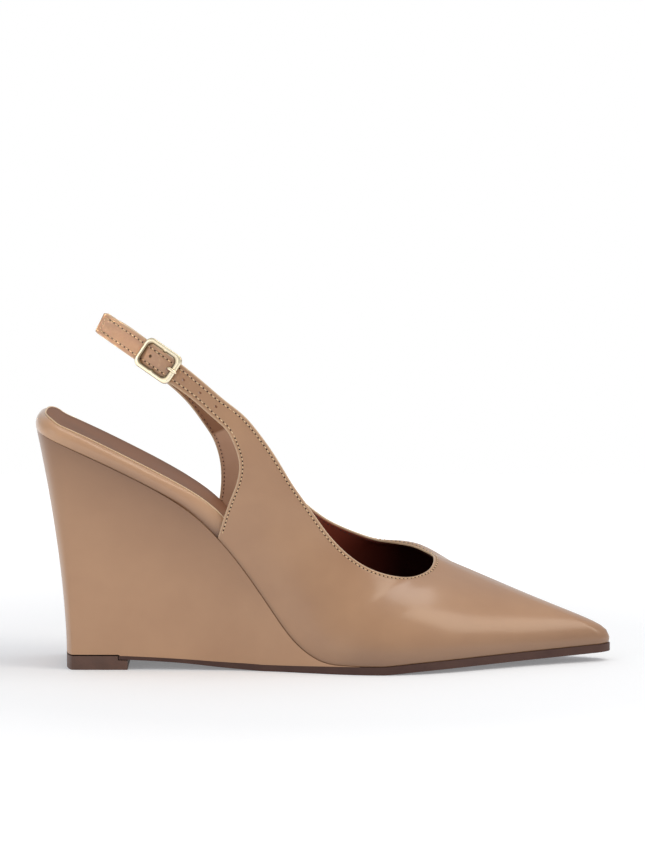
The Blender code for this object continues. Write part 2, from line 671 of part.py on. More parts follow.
def build_buckle_frame(place, material):
    """Flat frame round the strap, with a centre bar that dips under it."""
    half = FRAME_LENGTH / 2
    rim = rounded_rectangle(-half, half, FRAME_WIDTH / 2, FRAME_CORNER)
    opening = rounded_rectangle(
        REAR_BAR - half, half - FRONT_BAR, FRAME_WIDTH / 2 - RAIL, FRAME_CORNER - RAIL / 2)
    half_thickness = FRAME_THICKNESS / 2 * MM
    plate = curve_object("frame_outline", [rim, opening], half_thickness=half_thickness, closed=True)
    level = Matrix.Translation((0, 0, (GAP + FRAME_THICKNESS / 2) * MM))
    frame = as_mesh(plate, place @ level, shoe, "buckle_frame", material)
    round_edges(frame, EDGE_ROUNDING)
    reach = (FRAME_WIDTH - RAIL) / 2
    depth = WALL + GAP + BAR_RADIUS
    chamfer = BAR_BEND * (1 - math.sqrt(0.5))
    side = [(reach, GAP + FRAME_THICKNESS / 2), (reach, BAR_BEND - depth), (reach - chamfer, chamfer - depth),
            (reach - BAR_BEND, -depth)]
    path = [(0.0, y * MM, z * MM) for y, z in side]
    path += [(0.0, -y * MM, z * MM) for y, z in reversed(side)]
    wire = curve_object("centre_bar", [path], radius=BAR_RADIUS * MM)
    bar = as_mesh(wire, place, cutters, "centre_bar")
    boolean(frame, bar, "UNION")
    return frame


def build_buckle_prong(place, material):
    """Prong from the centre bar, through the strap's hole, to rest over the front bar."""
    under = -(WALL + GAP + BAR_RADIUS)
    rest = GAP + FRAME_THICKNESS + GAP + PRONG_RADIUS
    turns = np.linspace(-math.pi / 2, math.pi / 2, 7)
    climb = [(PRONG_RISE + PRONG_SLOPE * turn / math.pi * (1 + abs(turn) / math.pi),
              (under + rest) / 2 + (rest - under) / 2 * math.sin(turn)) for turn in turns]
    route = [(PRONG_START, under), *climb, (PRONG_TIP, rest)]
    wire = curve_object("prong_wire", [[(x * MM, 0.0, z * MM) for x, z in route]], radius=PRONG_RADIUS * MM)
    return as_mesh(wire, place, shoe, "buckle_prong", material)


def cut_prong_hole(upper, place):
    """Slot in the strap that the prong passes through."""
    bpy.ops.mesh.primitive_cube_add(size=1.0)
    hole = bpy.context.object
    hole.name = "prong_hole"
    for collection in list(hole.users_collection):
        collection.objects.unlink(hole)
    cutters.objects.link(hole)
    hole.data.transform(Matrix.Diagonal((*(Vector(PRONG_HOLE) * MM), 1.0)))
    hole.parent = root
    hole.matrix_basis = place @ Matrix.Translation((PRONG_RISE * MM, 0, -WALL / 2 * MM))
    boolean(upper, hole, "DIFFERENCE")


def stand_on_origin():
    """Move the shoe so that its box is centred over the origin, with its lowest point on the floor."""
    bpy.context.view_layer.update()
    depsgraph = bpy.context.evaluated_depsgraph_get()
    corners = []
    for piece in shoe.objects:
        if piece.type == "MESH":
            whole = piece.evaluated_get(depsgraph)
            mesh = whole.to_mesh()
            corners += [whole.matrix_world @ vertex.co for vertex in mesh.vertices]
            whole.to_mesh_clear()
    corners = np.array(corners)
    low = corners.min(axis=0)
    high = corners.max(axis=0)
    root.location = (-(low[0] + high[0]) / 2, -(low[1] + high[1]) / 2, -low[2])
    bpy.context.view_layer.update()


for old in list(bpy.data.objects):
    bpy.data.objects.remove(old)

shoe = bpy.data.collections.new("wedge_slingback")
cutters = bpy.data.collections.new("cutters")
for group in (shoe, cutters):
    bpy.context.scene.collection.children.link(group)
root = bpy.data.objects.new("wedge_slingback", None)
shoe.objects.link(root)

camel_leather = make_material("camel_leather", "#B08E6E", 0.38)
wedge_leather = make_material("wedge_leather", "#AC8A6B", 0.42)
rand_leather = make_material("rand_leather", "#B49273", 0.42)
insole_leather = make_material("insole_leather", "#8A6A5A", 0.55)
sole_leather = make_material("sole_leather", "#6A4A3E", 0.5)
lift_rubber = make_material("lift_rubber", "#654639", 0.6)
frame_gold = make_material("frame_gold", "#E6C98A", 0.22, 1.0)
prong_gold = make_material("prong_gold", "#E2C382", 0.25, 1.0)

build_outsole(sole_leather)
build_heel_lift(lift_rubber)
build_wedge(wedge_leather)
build_seat_rand(rand_leather)
build_insole(insole_leather)
slingback_upper = build_upper(camel_leather)
buckle = buckle_place()
build_buckle_frame(buckle, frame_gold)
build_buckle_prong(buckle, prong_gold)
cut_prong_hole(slingback_upper, buckle)
stand_on_origin()
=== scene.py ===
# Right wedge slingback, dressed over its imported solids
import math
import bpy
import numpy as np
from mathutils import Euler, Matrix


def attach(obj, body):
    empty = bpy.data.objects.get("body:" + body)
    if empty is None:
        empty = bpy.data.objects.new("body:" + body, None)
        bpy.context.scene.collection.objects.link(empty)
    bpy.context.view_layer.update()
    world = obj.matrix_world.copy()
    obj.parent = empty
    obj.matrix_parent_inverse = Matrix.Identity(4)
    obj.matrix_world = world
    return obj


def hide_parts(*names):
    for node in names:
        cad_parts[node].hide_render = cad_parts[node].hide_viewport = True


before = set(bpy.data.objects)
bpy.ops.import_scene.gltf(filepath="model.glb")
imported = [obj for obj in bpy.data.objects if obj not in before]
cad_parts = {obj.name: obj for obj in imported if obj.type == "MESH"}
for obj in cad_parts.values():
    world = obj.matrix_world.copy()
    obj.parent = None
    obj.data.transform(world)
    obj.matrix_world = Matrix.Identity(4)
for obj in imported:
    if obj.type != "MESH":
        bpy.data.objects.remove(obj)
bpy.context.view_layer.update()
print("frame loaded:", ", ".join(sorted(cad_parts)))

mm = 0.001
outer, inner = -1, 1   # sides of the foot, as the sign of y

# The last, in millimetres: x from heel to toe, z up from the floor
last = dict(
    length=232.0, heelRound=12.0, heelSquare=3.0, toeRound=5.0, tipTurn=0.02,
    heelFront=28.0, forepart=150.0, gap=0.3, footGap=0.4,
    shift=np.array((-115.656, -0.167, 0.0)))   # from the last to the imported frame


def unit(vectors):   # vectors divided by their lengths
    return vectors / np.maximum(np.linalg.norm(vectors, axis=-1, keepdims=True), 1e-12)


def cubicCurve(t, handles):   # four handles added up by their shares at t
    shares = (1 - t) ** 3, 3 * t * (1 - t) ** 2, 3 * t ** 2 * (1 - t), t ** 3
    return sum(share * handle for share, handle in zip(shares, handles))


def grow(x, start, run):   # from 0 at the start to 1 after the run, which goes back where it is negative
    return np.clip((x - start) / run, 0, 1)


def arcAlong(path):   # length of a path up to each of its points
    return np.concatenate([[0], np.cumsum(np.linalg.norm(np.diff(path, axis=0), axis=1))])


def tableOf(columns, *rows):   # named columns of a table with a row for each section
    return dict(zip(columns.split(), np.array(rows, float).T))


planTable = tableOf(   # half width of the outline, and how far its middle lies to the inner side
    "along half axis",
    (0, 27.8, 0.0), (14, 28.4, 0.0), (30, 28.5, 0.0), (50, 27.9, -0.1), (75, 26.9, -0.8),
    (92, 27.4, -1.2), (110, 31.2, -1.4), (127, 36.2, -1.0), (142, 38.5, 0.0), (158, 36.6, 1.5),
    (175, 29.8, 3.0), (192, 21.2, 4.1), (210, 12.9, 4.7), (222, 7.8, 4.8), (232, 3.8, 4.8))

featherTable = tableOf(   # where upper and heel seat meet the wedge
    "along height",
    (0, 96.7), (8, 92.7), (24, 85.2), (38, 78.4), (54, 69.6), (63, 63.3), (72, 54.9), (80.5, 45.0),
    (88, 34.7), (95.5, 23.7), (102.5, 14.1), (110, 7.4), (117, 4.2), (124, 3.5), (130, 3.3), (150, 3.0))

footbedTable = tableOf(   # top face of the insole
    "along height",
    (0, 102.6), (12, 97.8), (24, 92.4), (38, 85.5), (57, 75.5), (65, 70.6), (74, 63.3), (82, 53.8),
    (90, 42.4), (98, 29.2), (106, 17.2), (114, 9.4), (122, 6.2), (130, 5.4), (150, 4.8))

treadTable = tableOf(   # underside of the sole, flat where it would run below the floor
    "along height thickness",
    (28, 4.3, 1.25), (36, 4.1, 1.2), (50, 3.4, 1.25), (62, 2.5, 1.45), (74, 1.25, 1.9), (88, 0.2, 2.3),
    (97, -0.3, 2.3), (110, -0.5, 2.5), (123, -0.6, 2.8), (138, -0.15, 2.95), (145, 0.4, 3.0),
    (152, 1.0, 3.0), (165, 1.65, 3.0), (190, 2.4, 3.0), (214, 3.2, 3.0), (232, 4.0, 3.0))

tuckTable = tableOf(   # how far the wedge's foot is drawn in
    "along depth",
    (0, 5.0), (40, 5.0), (60, 4.3), (80, 2.8), (95, 1.2), (110, 0.2), (120, 0.0), (232, 0.0))

seatTable = tableOf(   # rim of the heel seat and edge of the insole, out from the feather outline
    "along rim swell insole",
    (0, 0.1, 0.2, -4.0), (14, -0.3, 0.9, -3.4), (30, -0.4, 1.3, -2.8), (50, -0.6, 1.1, -2.7),
    (70, -2.2, 0.1, -3.7), (77, -2.3, 0.1, -3.7), (86, -2.5, 0.1, -3.2), (100, -2.9, 0.1, -3.8),
    (112, -2.7, 0.1, -3.2), (125, -2.5, 0.1, -2.5), (150, -2.4, 0.1, -2.4), (175, -2.4, 0.1, -2.5),
    (200, -2.4, 0.1, -2.8), (232, -2.4, 0.1, -4.0))

outerStrapTable = tableOf(   # from the loose end to the outer quarter's back edge: lower edge, upper edge
    "footAlong footAcross footHeight topAlong topAcross topHeight",
    (23.6, -9.2, 135.1, 27.7, -9.6, 143.5),
    (47.0, -19.7, 119.9, 52.4, -19.7, 127.7),
    (61.6, -24.1, 110.3, 67.3, -23.8, 116.5),
    (70.4, -25.8, 102.8, 76.5, -25.4, 108.8),
    (76.5, -26.9, 97.4, 83.8, -26.2, 103.0),
    (79.8, -27.4, 91.4, 90.2, -26.9, 95.6),
    (81.9, -27.9, 84.0, 96.6, -27.5, 86.5),
    (80.8, -28.2, 75.6, 102.4, -28.0, 76.9),
    (77.2, -28.2, 66.2, 107.3, -28.3, 69.8))

vampTable = tableOf(   # from the outer back corner round the toe to the inner one
    "footAlong topAlong topAcross topHeight upright rise swell crown reach",
    (73.3, 112.2, -28.5, 63.0, 0.0, 0.5, 1.0, 0.5, 0.58),
    (81.0, 117.6, -28.4, 55.6, 0.0, 0.5, 2.0, 0.5, 0.58),
    (88.5, 123.6, -27.7, 49.1, 0.0, 0.5, 3.5, 0.5, 0.58),
    (96.5, 130.0, -26.2, 43.9, 0.05, 0.5, 5.9, 0.5, 0.58),
    (106.0, 137.0, -23.6, 40.1, 0.2, 0.5, 9.2, 0.5, 0.58),
    (120.0, 144.2, -19.9, 37.7, 0.55, 0.5, 13.5, 0.48, 0.58),
    (141.0, 150.6, -15.4, 36.8, 0.9, 0.5, 16.0, 0.46, 0.58),
    (165.0, 155.3, -10.8, 37.5, 1.0, 0.47, 16.0, 0.44, 0.58),
    (189.0, 158.4, -6.6, 38.9, 1.0, 0.4, 16.0, 0.425, 0.6),
    (211.0, 159.9, -2.8, 40.5, 1.0, 0.3, 16.0, 0.43, 0.7),
    (226.5, 160.4, 0.4, 41.7, 1.0, 0.28, 16.0, 0.435, 0.82),
    (232.0, 160.4, 3.2, 42.5, 1.0, 0.27, 16.0, 0.435, 0.9),   # toe
    (226.5, 160.1, 5.8, 42.9, 1.0, 0.28, 16.0, 0.43, 0.82),
    (211.0, 159.0, 8.3, 43.5, 1.0, 0.3, 16.0, 0.41, 0.7),
    (189.0, 156.6, 11.0, 44.4, 1.0, 0.4, 16.0, 0.32, 0.6),
    (165.0, 152.2, 14.2, 45.6, 1.0, 0.47, 16.0, -0.25, 0.58),
    (142.0, 145.8, 17.7, 46.4, 0.9, 0.5, 16.0, -0.6, 0.58),
    (122.0, 138.6, 20.7, 47.4, 0.7, 0.5, 12.5, -0.7, 0.58),
    (108.0, 131.3, 22.8, 49.5, 0.4, 0.5, 8.0, -0.6, 0.58),
    (97.5, 124.0, 24.2, 52.2, 0.15, 0.5, 4.8, -0.2, 0.58),
    (88.5, 116.5, 25.0, 55.9, 0.0, 0.5, 2.8, 0.5, 0.58),
    (79.7, 109.3, 25.3, 61.2, 0.0, 0.5, 1.4, 0.5, 0.58),
    (71.0, 102.4, 25.3, 67.2, 0.0, 0.5, 0.6, 0.5, 0.58))

innerStrapTable = tableOf(   # from the back edge of the inner quarter round the heel to the buckle's bar
    "footAlong footAcross footHeight topAlong topAcross topHeight",
    (73.1, 25.9, 64.8, 95.9, 25.0, 73.9),
    (73.7, 25.6, 74.4, 90.1, 24.6, 80.1),
    (72.7, 25.1, 82.0, 85.2, 24.2, 86.3),
    (70.3, 24.6, 88.8, 80.5, 23.8, 93.1),
    (66.6, 24.0, 94.7, 75.3, 23.2, 99.8),
    (60.9, 23.0, 102.5, 67.7, 22.4, 109.3),
    (54.0, 21.4, 109.6, 60.3, 21.0, 117.0),
    (46.3, 18.9, 116.2, 51.9, 18.6, 123.9),
    (39.2, 15.5, 122.5, 43.9, 15.2, 130.1),
    (32.2, 10.9, 128.0, 36.6, 10.7, 135.9),
    (27.2, 4.9, 132.2, 31.4, 4.8, 139.4),
    (25.8, -0.9, 133.6, 29.6, -0.9, 140.4),
    (27.9, -5.8, 132.9, 31.0, -5.8, 138.8),
    (32.6, -9.8, 130.1, 36.1, -9.8, 136.2),
    (39.8, -13.1, 125.8, 43.7, -13.1, 132.1),
    (48.2, -15.4, 119.8, 53.0, -15.4, 126.8))


# Natural cubic spline through rows of values: solve for the bends at the knots, then add up the cubic of
# each span
def spline(knots, values, at):
    knots, values, at = (np.asarray(a, float) for a in (knots, values, at))
    column = (-1,) + (1,) * (values.ndim - 1)
    step = np.diff(knots)
    slope = np.diff(values, axis=0) / step.reshape(column)
    system = np.eye(len(knots))
    target = np.zeros_like(values)
    for i in range(1, len(knots) - 1):
        system[i, i - 1:i + 2] = step[i - 1], 2 * (step[i - 1] + step[i]), step[i]
        target[i] = 6 * (slope[i] - slope[i - 1])
    bend = np.linalg.solve(system, target)
    i = np.clip(np.searchsorted(knots, at, side="right") - 1, 0, len(step) - 1)
    t = (at - knots[i]).reshape(column)
    h = step[i].reshape(column)
    first = slope[i] - h * (2 * bend[i] + bend[i + 1]) / 6
    return values[i] + t * (first + t * (bend[i] / 2 + t * (bend[i + 1] - bend[i]) / (6 * h)))


def readColumn(rows, column, at):   # a column of a table as a spline over its stations
    return spline(rows["along"], rows[column], at)


# Half width times a squarish quarter round at the heel and a quarter ellipse at the toe, to either side of
# the axis
def planEdge(x, side):
    heel = grow(x, last["heelRound"], -last["heelRound"])
    toe = grow(x, last["length"] - last["toeRound"], last["toeRound"])
    share = (1 - heel ** last["heelSquare"]) ** (1 / last["heelSquare"]) * np.sqrt(1 - toe ** 2)
    return readColumn(planTable, "axis", x) + side * readColumn(planTable, "half", x) * share


# The outline in plan, moved along its own normal
def outlineAt(x, side, out=0.0):
    step = 0.01
    x = np.clip(np.asarray(x, float), 0, last["length"])
    before, after = np.clip(x - step, 0, last["length"]), np.clip(x + step, 0, last["length"])
    run, rise = after - before, planEdge(after, side) - planEdge(before, side)
    size = np.hypot(run, rise)
    return np.stack([x - side * out * rise / size, planEdge(x, side) + side * out * run / size], axis=-1)


def soleBottom(x):   # the tread line, cut off at the floor
    return np.maximum(readColumn(treadTable, "height", x), 0.0)


def soleTop(x):   # the tread line plus the thickness
    return soleBottom(x) + readColumn(treadTable, "thickness", x)


def featherHeight(x):   # the table's line, never lower than the sole
    rest = soleTop(np.maximum(x, last["heelFront"])) + last["footGap"]
    return np.maximum(readColumn(featherTable, "height", np.minimum(x, last["forepart"])), rest)


def footbedHeight(x):   # the table's line, never lower than an insole on the sole
    rest = soleTop(np.maximum(x, last["heelFront"])) + last["gap"] + insole["thickness"]
    return np.maximum(readColumn(footbedTable, "height", np.minimum(x, last["forepart"])), rest)


def below(profile, x, depth):   # a profile moved down square to its slope
    step = 0.5
    slope = (profile(x + step) - profile(x - step)) / (2 * step)
    return profile(x) - depth * np.sqrt(1 + slope ** 2)


# Side of the wedge: share 0 is the feather outline, share 1 the foot, drawn in by the tuck and leaning
# forward
def footOutline(x, side, share=1.0, out=0.0):
    points = outlineAt(x, side, out - share * np.maximum(readColumn(tuckTable, "depth", x), 0))
    points[:, 0] += share * wedge["lean"] * grow(x, wedge["leanReach"], -wedge["leanReach"]) ** 2
    return points


def stationOf(place):   # station whose foot lies at this place along the floor
    x = np.linspace(0, wedge["leanReach"], 400)
    return np.interp(place, footOutline(x, outer)[:, 0], x)


def heelStations(count):   # even turns round the heel, brought to stations by a power of their cosine
    turn = np.linspace(last["tipTurn"], math.pi / 2, count)
    return last["heelRound"] * (1 - np.cos(turn) ** (2 / last["heelSquare"]))


def toeStations(count):   # even turns round the toe, brought to stations by their sine
    turn = np.linspace(0, math.pi / 2 - last["tipTurn"], count)
    return last["length"] - last["toeRound"] * (1 - np.sin(turn))


def stations(*runs):   # all runs in order, without doubles
    return np.unique(np.round(np.concatenate(runs), 4))


# Quads between neighbouring rows of a grid; ring joins its last column to the first, loop its last row
def gridFaces(rows, columns, ring=False, loop=False):
    index = np.arange(rows * columns).reshape(rows, columns)
    if ring:
        index = np.concatenate([index, index[:, :1]], axis=1)
    if loop:
        index = np.concatenate([index, index[:1]], axis=0)
    corners = [index[:-1, :-1], index[1:, :-1], index[1:, 1:], index[:-1, 1:]]
    return np.stack(corners, axis=-1).reshape(-1, 4)


# Closed skin over rings that go up the outer side and down the inner one, with a strip of quads at each end
def loft(sections):
    count, ring = sections.shape[:2]
    index = np.arange(count * ring).reshape(count, ring)
    low = np.arange(ring // 2 - 1)
    strip = np.stack([low, low + 1, ring - 2 - low, ring - 1 - low], axis=1)
    ends = [index[0][strip], index[-1][strip[:, ::-1]]]
    return sections, np.concatenate([gridFaces(count, ring, ring=True), *ends])


def sideBySide(outerColumn, innerColumn):   # rings up the outer side and down the inner one
    return np.concatenate([outerColumn, innerColumn[:, ::-1]], axis=1)


def addObject(name, data):
    thing = bpy.data.objects.new(name, data)
    bpy.context.scene.collection.objects.link(thing)
    return thing


# Piece of the shoe: its points moved from the last to the frame and brought to metres
def makePiece(name, points, faces, finish, node=None, slot=None, sharpAngle=40):
    mesh = bpy.data.meshes.new(name)
    mesh.from_pydata(((np.reshape(points, (-1, 3)) + last["shift"]) * mm).tolist(), [], faces.tolist())
    mesh.shade_smooth()
    mesh.set_sharp_from_angle(angle=math.radians(sharpAngle))
    mesh.materials.append(finish)
    piece = addObject(name, mesh)
    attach(piece, "root")
    if node:
        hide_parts(node)
    return piece


def addAttribute(piece, name, values):
    layer = piece.data.attributes.new(name, "FLOAT", "POINT")
    layer.data.foreach_set("value", np.ravel(values).astype(np.float32))


# Painted shade inside the forepart: the lining and insole turn a darker wine red, and the toe box goes dark.
# Each shade has its start along the last and its run.
foreShades = dict(forepartShade=(100.0, 16.0), deepShade=(118.0, 30.0))


def addForeShades(piece, x):
    for name, (start, run) in foreShades.items():
        addAttribute(piece, name, grow(x, start, run))


def roundEdges(piece, width, segments=3):
    bevel = piece.modifiers.new("rounded edges", "BEVEL")
    bevel.width = width * mm
    bevel.segments = segments
    bevel.limit_method = "ANGLE"
    bevel.angle_limit = math.radians(50)   # only the corners of a section


# Round tube along a path: a circle of the given radius square to the run of the points
def tubeAlong(path, radius, around=12, up=(0, 0, 1)):
    run = unit(np.gradient(path, axis=0))
    side = unit(np.cross(np.broadcast_to(up, run.shape), run))
    top = np.cross(run, side)
    turn = (np.arange(around) + 0.5) * 2 * math.pi / around
    circle = side[:, None] * np.cos(turn)[:, None] + top[:, None] * np.sin(turn)[:, None]
    return path[:, None] + np.broadcast_to(radius, len(path))[:, None, None] * circle


# Finishes

def toLinear(hexColour):   # the standard curve from screen shares to shares of light
    shares = np.array([int(hexColour[i:i + 2], 16) for i in (1, 3, 5)]) / 255
    return (*np.where(shares <= 0.04045, shares / 12.92, ((shares + 0.055) / 1.055) ** 2.4), 1.0)


def addNode(tree, kind, inputs=None, links=None, **settings):   # one node, its sockets set and linked
    node = tree.nodes.new(kind)
    for name, value in settings.items():
        setattr(node, name, value)
    for name, value in (inputs or {}).items():
        node.inputs[name].default_value = value
    for name, source in (links or {}).items():
        tree.links.new(source, node.inputs[name])
    return node


# A finish in two tones of its material: slow mottling between them, gloss that follows the mottling, and a
# fine grain as bump. Sizes are in millimetres. The pores of the hides, of 0.1 to 0.3 mm, are drawn about
# three times as coarse, because they would be too fine to show.
def grainFinish(name, dark, light, roughness, mottle, grain, depth, spread=0.06,
                coat=0.0, coatRoughness=0.1, specular=0.5, metallic=0.0):
    material = bpy.data.materials.new(name)
    material.use_nodes = True
    tree = material.node_tree
    shader = tree.nodes["Principled BSDF"]
    low, high = 0.3, 0.7   # most of the noise lies between these
    place = addNode(tree, "ShaderNodeTexCoord").outputs["Object"]
    cloud = addNode(
        tree, "ShaderNodeTexNoise",
        dict(Scale=1 / (mottle * mm), Detail=3.0, Roughness=0.55), dict(Vector=place)).outputs["Fac"]
    ramp = addNode(tree, "ShaderNodeValToRGB", links=dict(Fac=cloud))
    for stop, position, colour in zip(ramp.color_ramp.elements, (low, high), (dark, light)):
        stop.position, stop.color = position, toLinear(colour)
    gloss = addNode(
        tree, "ShaderNodeMapRange",
        {"From Min": low, "From Max": high, "To Min": roughness - spread, "To Max": roughness + spread},
        dict(Value=cloud))
    cells = addNode(
        tree, "ShaderNodeTexVoronoi", dict(Scale=1 / (grain * mm)), dict(Vector=place), feature="SMOOTH_F1")
    bump = addNode(
        tree, "ShaderNodeBump", dict(Strength=1.0, Distance=depth * mm),
        dict(Height=cells.outputs["Distance"]))
    shader.inputs["Coat Weight"].default_value = coat
    shader.inputs["Coat Roughness"].default_value = coatRoughness
    shader.inputs["Specular IOR Level"].default_value = specular
    shader.inputs["Metallic"].default_value = metallic
    tree.links.new(ramp.outputs["Color"], shader.inputs["Base Color"])
    tree.links.new(gloss.outputs["Result"], shader.inputs["Roughness"])
    tree.links.new(bump.outputs["Normal"], shader.inputs["Normal"])
    return material


# Lay another colour over a finish where an attribute of the piece is high
def tintBy(material, attribute, colour):
    tree = material.node_tree
    base = tree.nodes["Principled BSDF"].inputs["Base Color"]
    first, second, mixed = 6, 7, 2   # places of the colour sockets of a Mix node
    share = addNode(tree, "ShaderNodeAttribute", attribute_name=attribute)
    mix = addNode(
        tree, "ShaderNodeMix", {second: toLinear(colour)},
        {"Factor": share.outputs["Fac"], first: base.links[0].from_socket}, data_type="RGBA")
    tree.links.new(mix.outputs[mixed], base)


# Polished calf: nearly smooth, with a clear finish that mirrors the softboxes over a soft, mottled camel
camelCalf = grainFinish(
    "polishedCamelCalf", "#A57B5A", "#B08663", 0.42, mottle=26, grain=0.55, depth=0.01,
    coat=0.75, coatRoughness=0.2)
tintBy(camelCalf, "edgeLight", "#E0C6A4")   # the turned edges are paler calf, with a painted highlight along them
tintBy(camelCalf, "footShade", "#6B4C36")   # painted shade along the lasted edge, in the wedge seam and beside the throat
# The same calf stretched over the wedge: flatter, with only a faint gloss, and painted lighter than on the
# upper as painted light
wedgeCalf = grainFinish(
    "stretchedCamelCalf", "#B48A69", "#BE9472", 0.45, mottle=30, grain=0.6, depth=0.01,
    coat=0.22, coatRoughness=0.15)
tintBy(wedgeCalf, "seatShade", "#7A5842")   # painted shade under the rim
# And over the padded rim, where it catches a soft line of light; its calf is painted lighter than on the
# upper, as painted light
randCalf = grainFinish(
    "paddedCamelCalf", "#BB906E", "#C49A77", 0.4, mottle=24, grain=0.5, depth=0.01,
    coat=0.6, coatRoughness=0.1)
tintBy(randCalf, "underShade", "#7A5842")   # painted shade over its lower half, towards its seam
# Pigskin lining, sueded: dull, pinkish taupe, with a visible pore
liningSkin = grainFinish(
    "taupeLiningSkin", "#BE977D", "#C8A188", 0.6, mottle=12, grain=0.8, depth=0.03, specular=0.25)
tintBy(liningSkin, "strapShare", "#93694F")   # the straps have a browner lining
# painted shade inside the forepart, and darker painted shade in the toe box
tintBy(liningSkin, "forepartShade", "#8A4030")
tintBy(liningSkin, "deepShade", "#2E0A06")
# Goatskin insole cover: dull taupe brown, flatter than the calf
sockSkin = grainFinish(
    "dullTaupeSock", "#7F5841", "#8A624B", 0.62, mottle=18, grain=0.7, depth=0.02, specular=0.25)
tintBy(sockSkin, "edgeShade", "#5E3F30")   # painted shade along its edges
# painted shade inside the forepart, and darker painted shade in the toe box
tintBy(sockSkin, "forepartShade", "#6A3024")
tintBy(sockSkin, "deepShade", "#1A0604")
# Turned edge of the calf round the heel seat: a pale line, where the dyed face is thin
edgeCalf = grainFinish("paleTurnedEdge", "#DDBE9A", "#E6C9A6", 0.4, mottle=10, grain=0.4, depth=0.01)
# Sole leather, stained and waxed: dark brown with a low sheen
soleHide = grainFinish(
    "waxedSoleHide", "#48302A", "#523931", 0.45, mottle=9, grain=0.9, depth=0.03, specular=0.3)
# Moulded heel rubber: matt brown, as dark as the sole
liftRubber = grainFinish("mouldedHeelRubber", "#573D32", "#63463A", 0.5, mottle=6, grain=0.5, depth=0.03)
# Waxed polyester thread, pale outside and wine inside, and the needle holes, painted dark as their shadow
calfThread = grainFinish("camelThread", "#D8BA92", "#E8CDA6", 0.5, mottle=3, grain=0.25, depth=0.03)
darkThread = grainFinish("wineThread", "#3A1A16", "#4A241E", 0.55, mottle=3, grain=0.25, depth=0.03)
needleDark = grainFinish("needleHoleShadow", "#2A1A12", "#362318", 0.8, mottle=2, grain=0.3, depth=0.01)
# Pale gold plating, polished: close to a mirror, with the faint swirl of the buffing wheel
goldPlate = grainFinish(
    "polishedPaleGold", "#FBEAC6", "#FFF6DC", 0.2, mottle=3, grain=0.5, depth=0.004,
    spread=0.04, metallic=1.0)
tintBy(goldPlate, "paintedRimShade", "#5E421E")   # painted shade and dark reflection on the steep rims
print("finishes made")

# Sole, heel lift, wedge, heel seat and insole


def atHeights(outline, *levels):   # an outline repeated at several heights
    return np.stack([np.column_stack([outline, level]) for level in levels], axis=1)


sole = dict(rear=33.4, edge=0.2, edgeStart=100.0, edgeRun=20.0, toeStart=224.0, rounding=0.45, fill=0.25)


# Sole: under and upper line of the tread table between the foot outlines of both sides
def buildSole():
    x = stations(
        np.linspace(float(stationOf(sole["rear"])), last["forepart"], 90),
        np.linspace(last["forepart"], sole["toeStart"], 60), toeStations(24))
    welt = sole["edge"] * grow(x, sole["edgeStart"], sole["edgeRun"])
    columns = []
    for side in (outer, inner):
        edge = footOutline(x, side, out=welt)
        columns.append(atHeights(edge, soleBottom(edge[:, 0]), soleTop(edge[:, 0]) + sole["fill"]))
    piece = makePiece("soleLeather", *loft(sideBySide(*columns)), soleHide, "outsole", "sole_leather")
    roundEdges(piece, sole["rounding"])


lift = dict(height=5.6, front=37.0, rounding=1.0, seam=0.25)


# Heel lift: floor to top face inside the wedge's foot outline, with a step down in front under the sole's end
def buildLift():
    step = sole["rear"] - last["gap"]
    places = np.array([step, step, lift["front"]])
    x = np.concatenate([heelStations(40), [last["heelFront"]], stationOf(places)])
    high = np.full(len(x), lift["height"])
    high[-2:] = soleBottom(places[-2:]) - last["gap"]
    columns = [atHeights(footOutline(x, side), np.zeros(len(x)), high) for side in (outer, inner)]
    piece = makePiece("heelLift", *loft(sideBySide(*columns)), liftRubber, "heel_lift", "lift_rubber")
    roundEdges(piece, lift["rounding"], 5)


wedge = dict(
    front=130.0, lean=6.8, leanReach=60.0, hollow=1.6, rounding=0.25, seam=0.05,
    shade=0.75, shadeRun=22.0, shadeEnd=105.0, shadeFade=45.0)


# Wedge: between feather line and foot, drawn in by one minus a power of the height
def buildWedge():
    x = stations(heelStations(48), np.linspace(last["heelRound"], wedge["front"], 120))
    high = below(featherHeight, x, wedge["seam"])
    columns = []
    for side in (outer, inner):
        foot = footOutline(x, side)
        liftTop = np.where(foot[:, 0] < sole["rear"], lift["height"] + lift["seam"], 0.0)
        low = np.maximum(liftTop, soleTop(np.maximum(foot[:, 0], last["heelFront"]))) + last["gap"]
        levels = []
        for depth in np.linspace(1, 0, 40):
            edge = footOutline(x, side, 1 - (1 - depth) ** wedge["hollow"])
            levels.append(np.column_stack([edge, high + (low - high) * depth]))
        columns.append(np.stack(levels, axis=1))
    sections = sideBySide(*columns)
    piece = makePiece("wedgeCover", *loft(sections), wedgeCalf, "wedge", "wedge_leather")
    # painted shade on the wedge, darkest under the rim and fading out towards the front
    fade = wedge["shade"] * grow(x, wedge["shadeEnd"], -wedge["shadeFade"])[:, None]
    addAttribute(piece, "seatShade", fade * np.exp((sections[:, :, 2] - high[:, None]) / wedge["shadeRun"]))
    roundEdges(piece, wedge["rounding"])


rand = dict(
    front=118.0, end=86.0, run=9.0, drop=0.1, lowBulge=2.0, highBulge=1.7, lowShare=0.3, crown=0.15,
    farDrop=0.35, shade=0.8, shadeTop=0.7, shadePower=1.4, shadeStart=4.0, shadeRise=32.0)


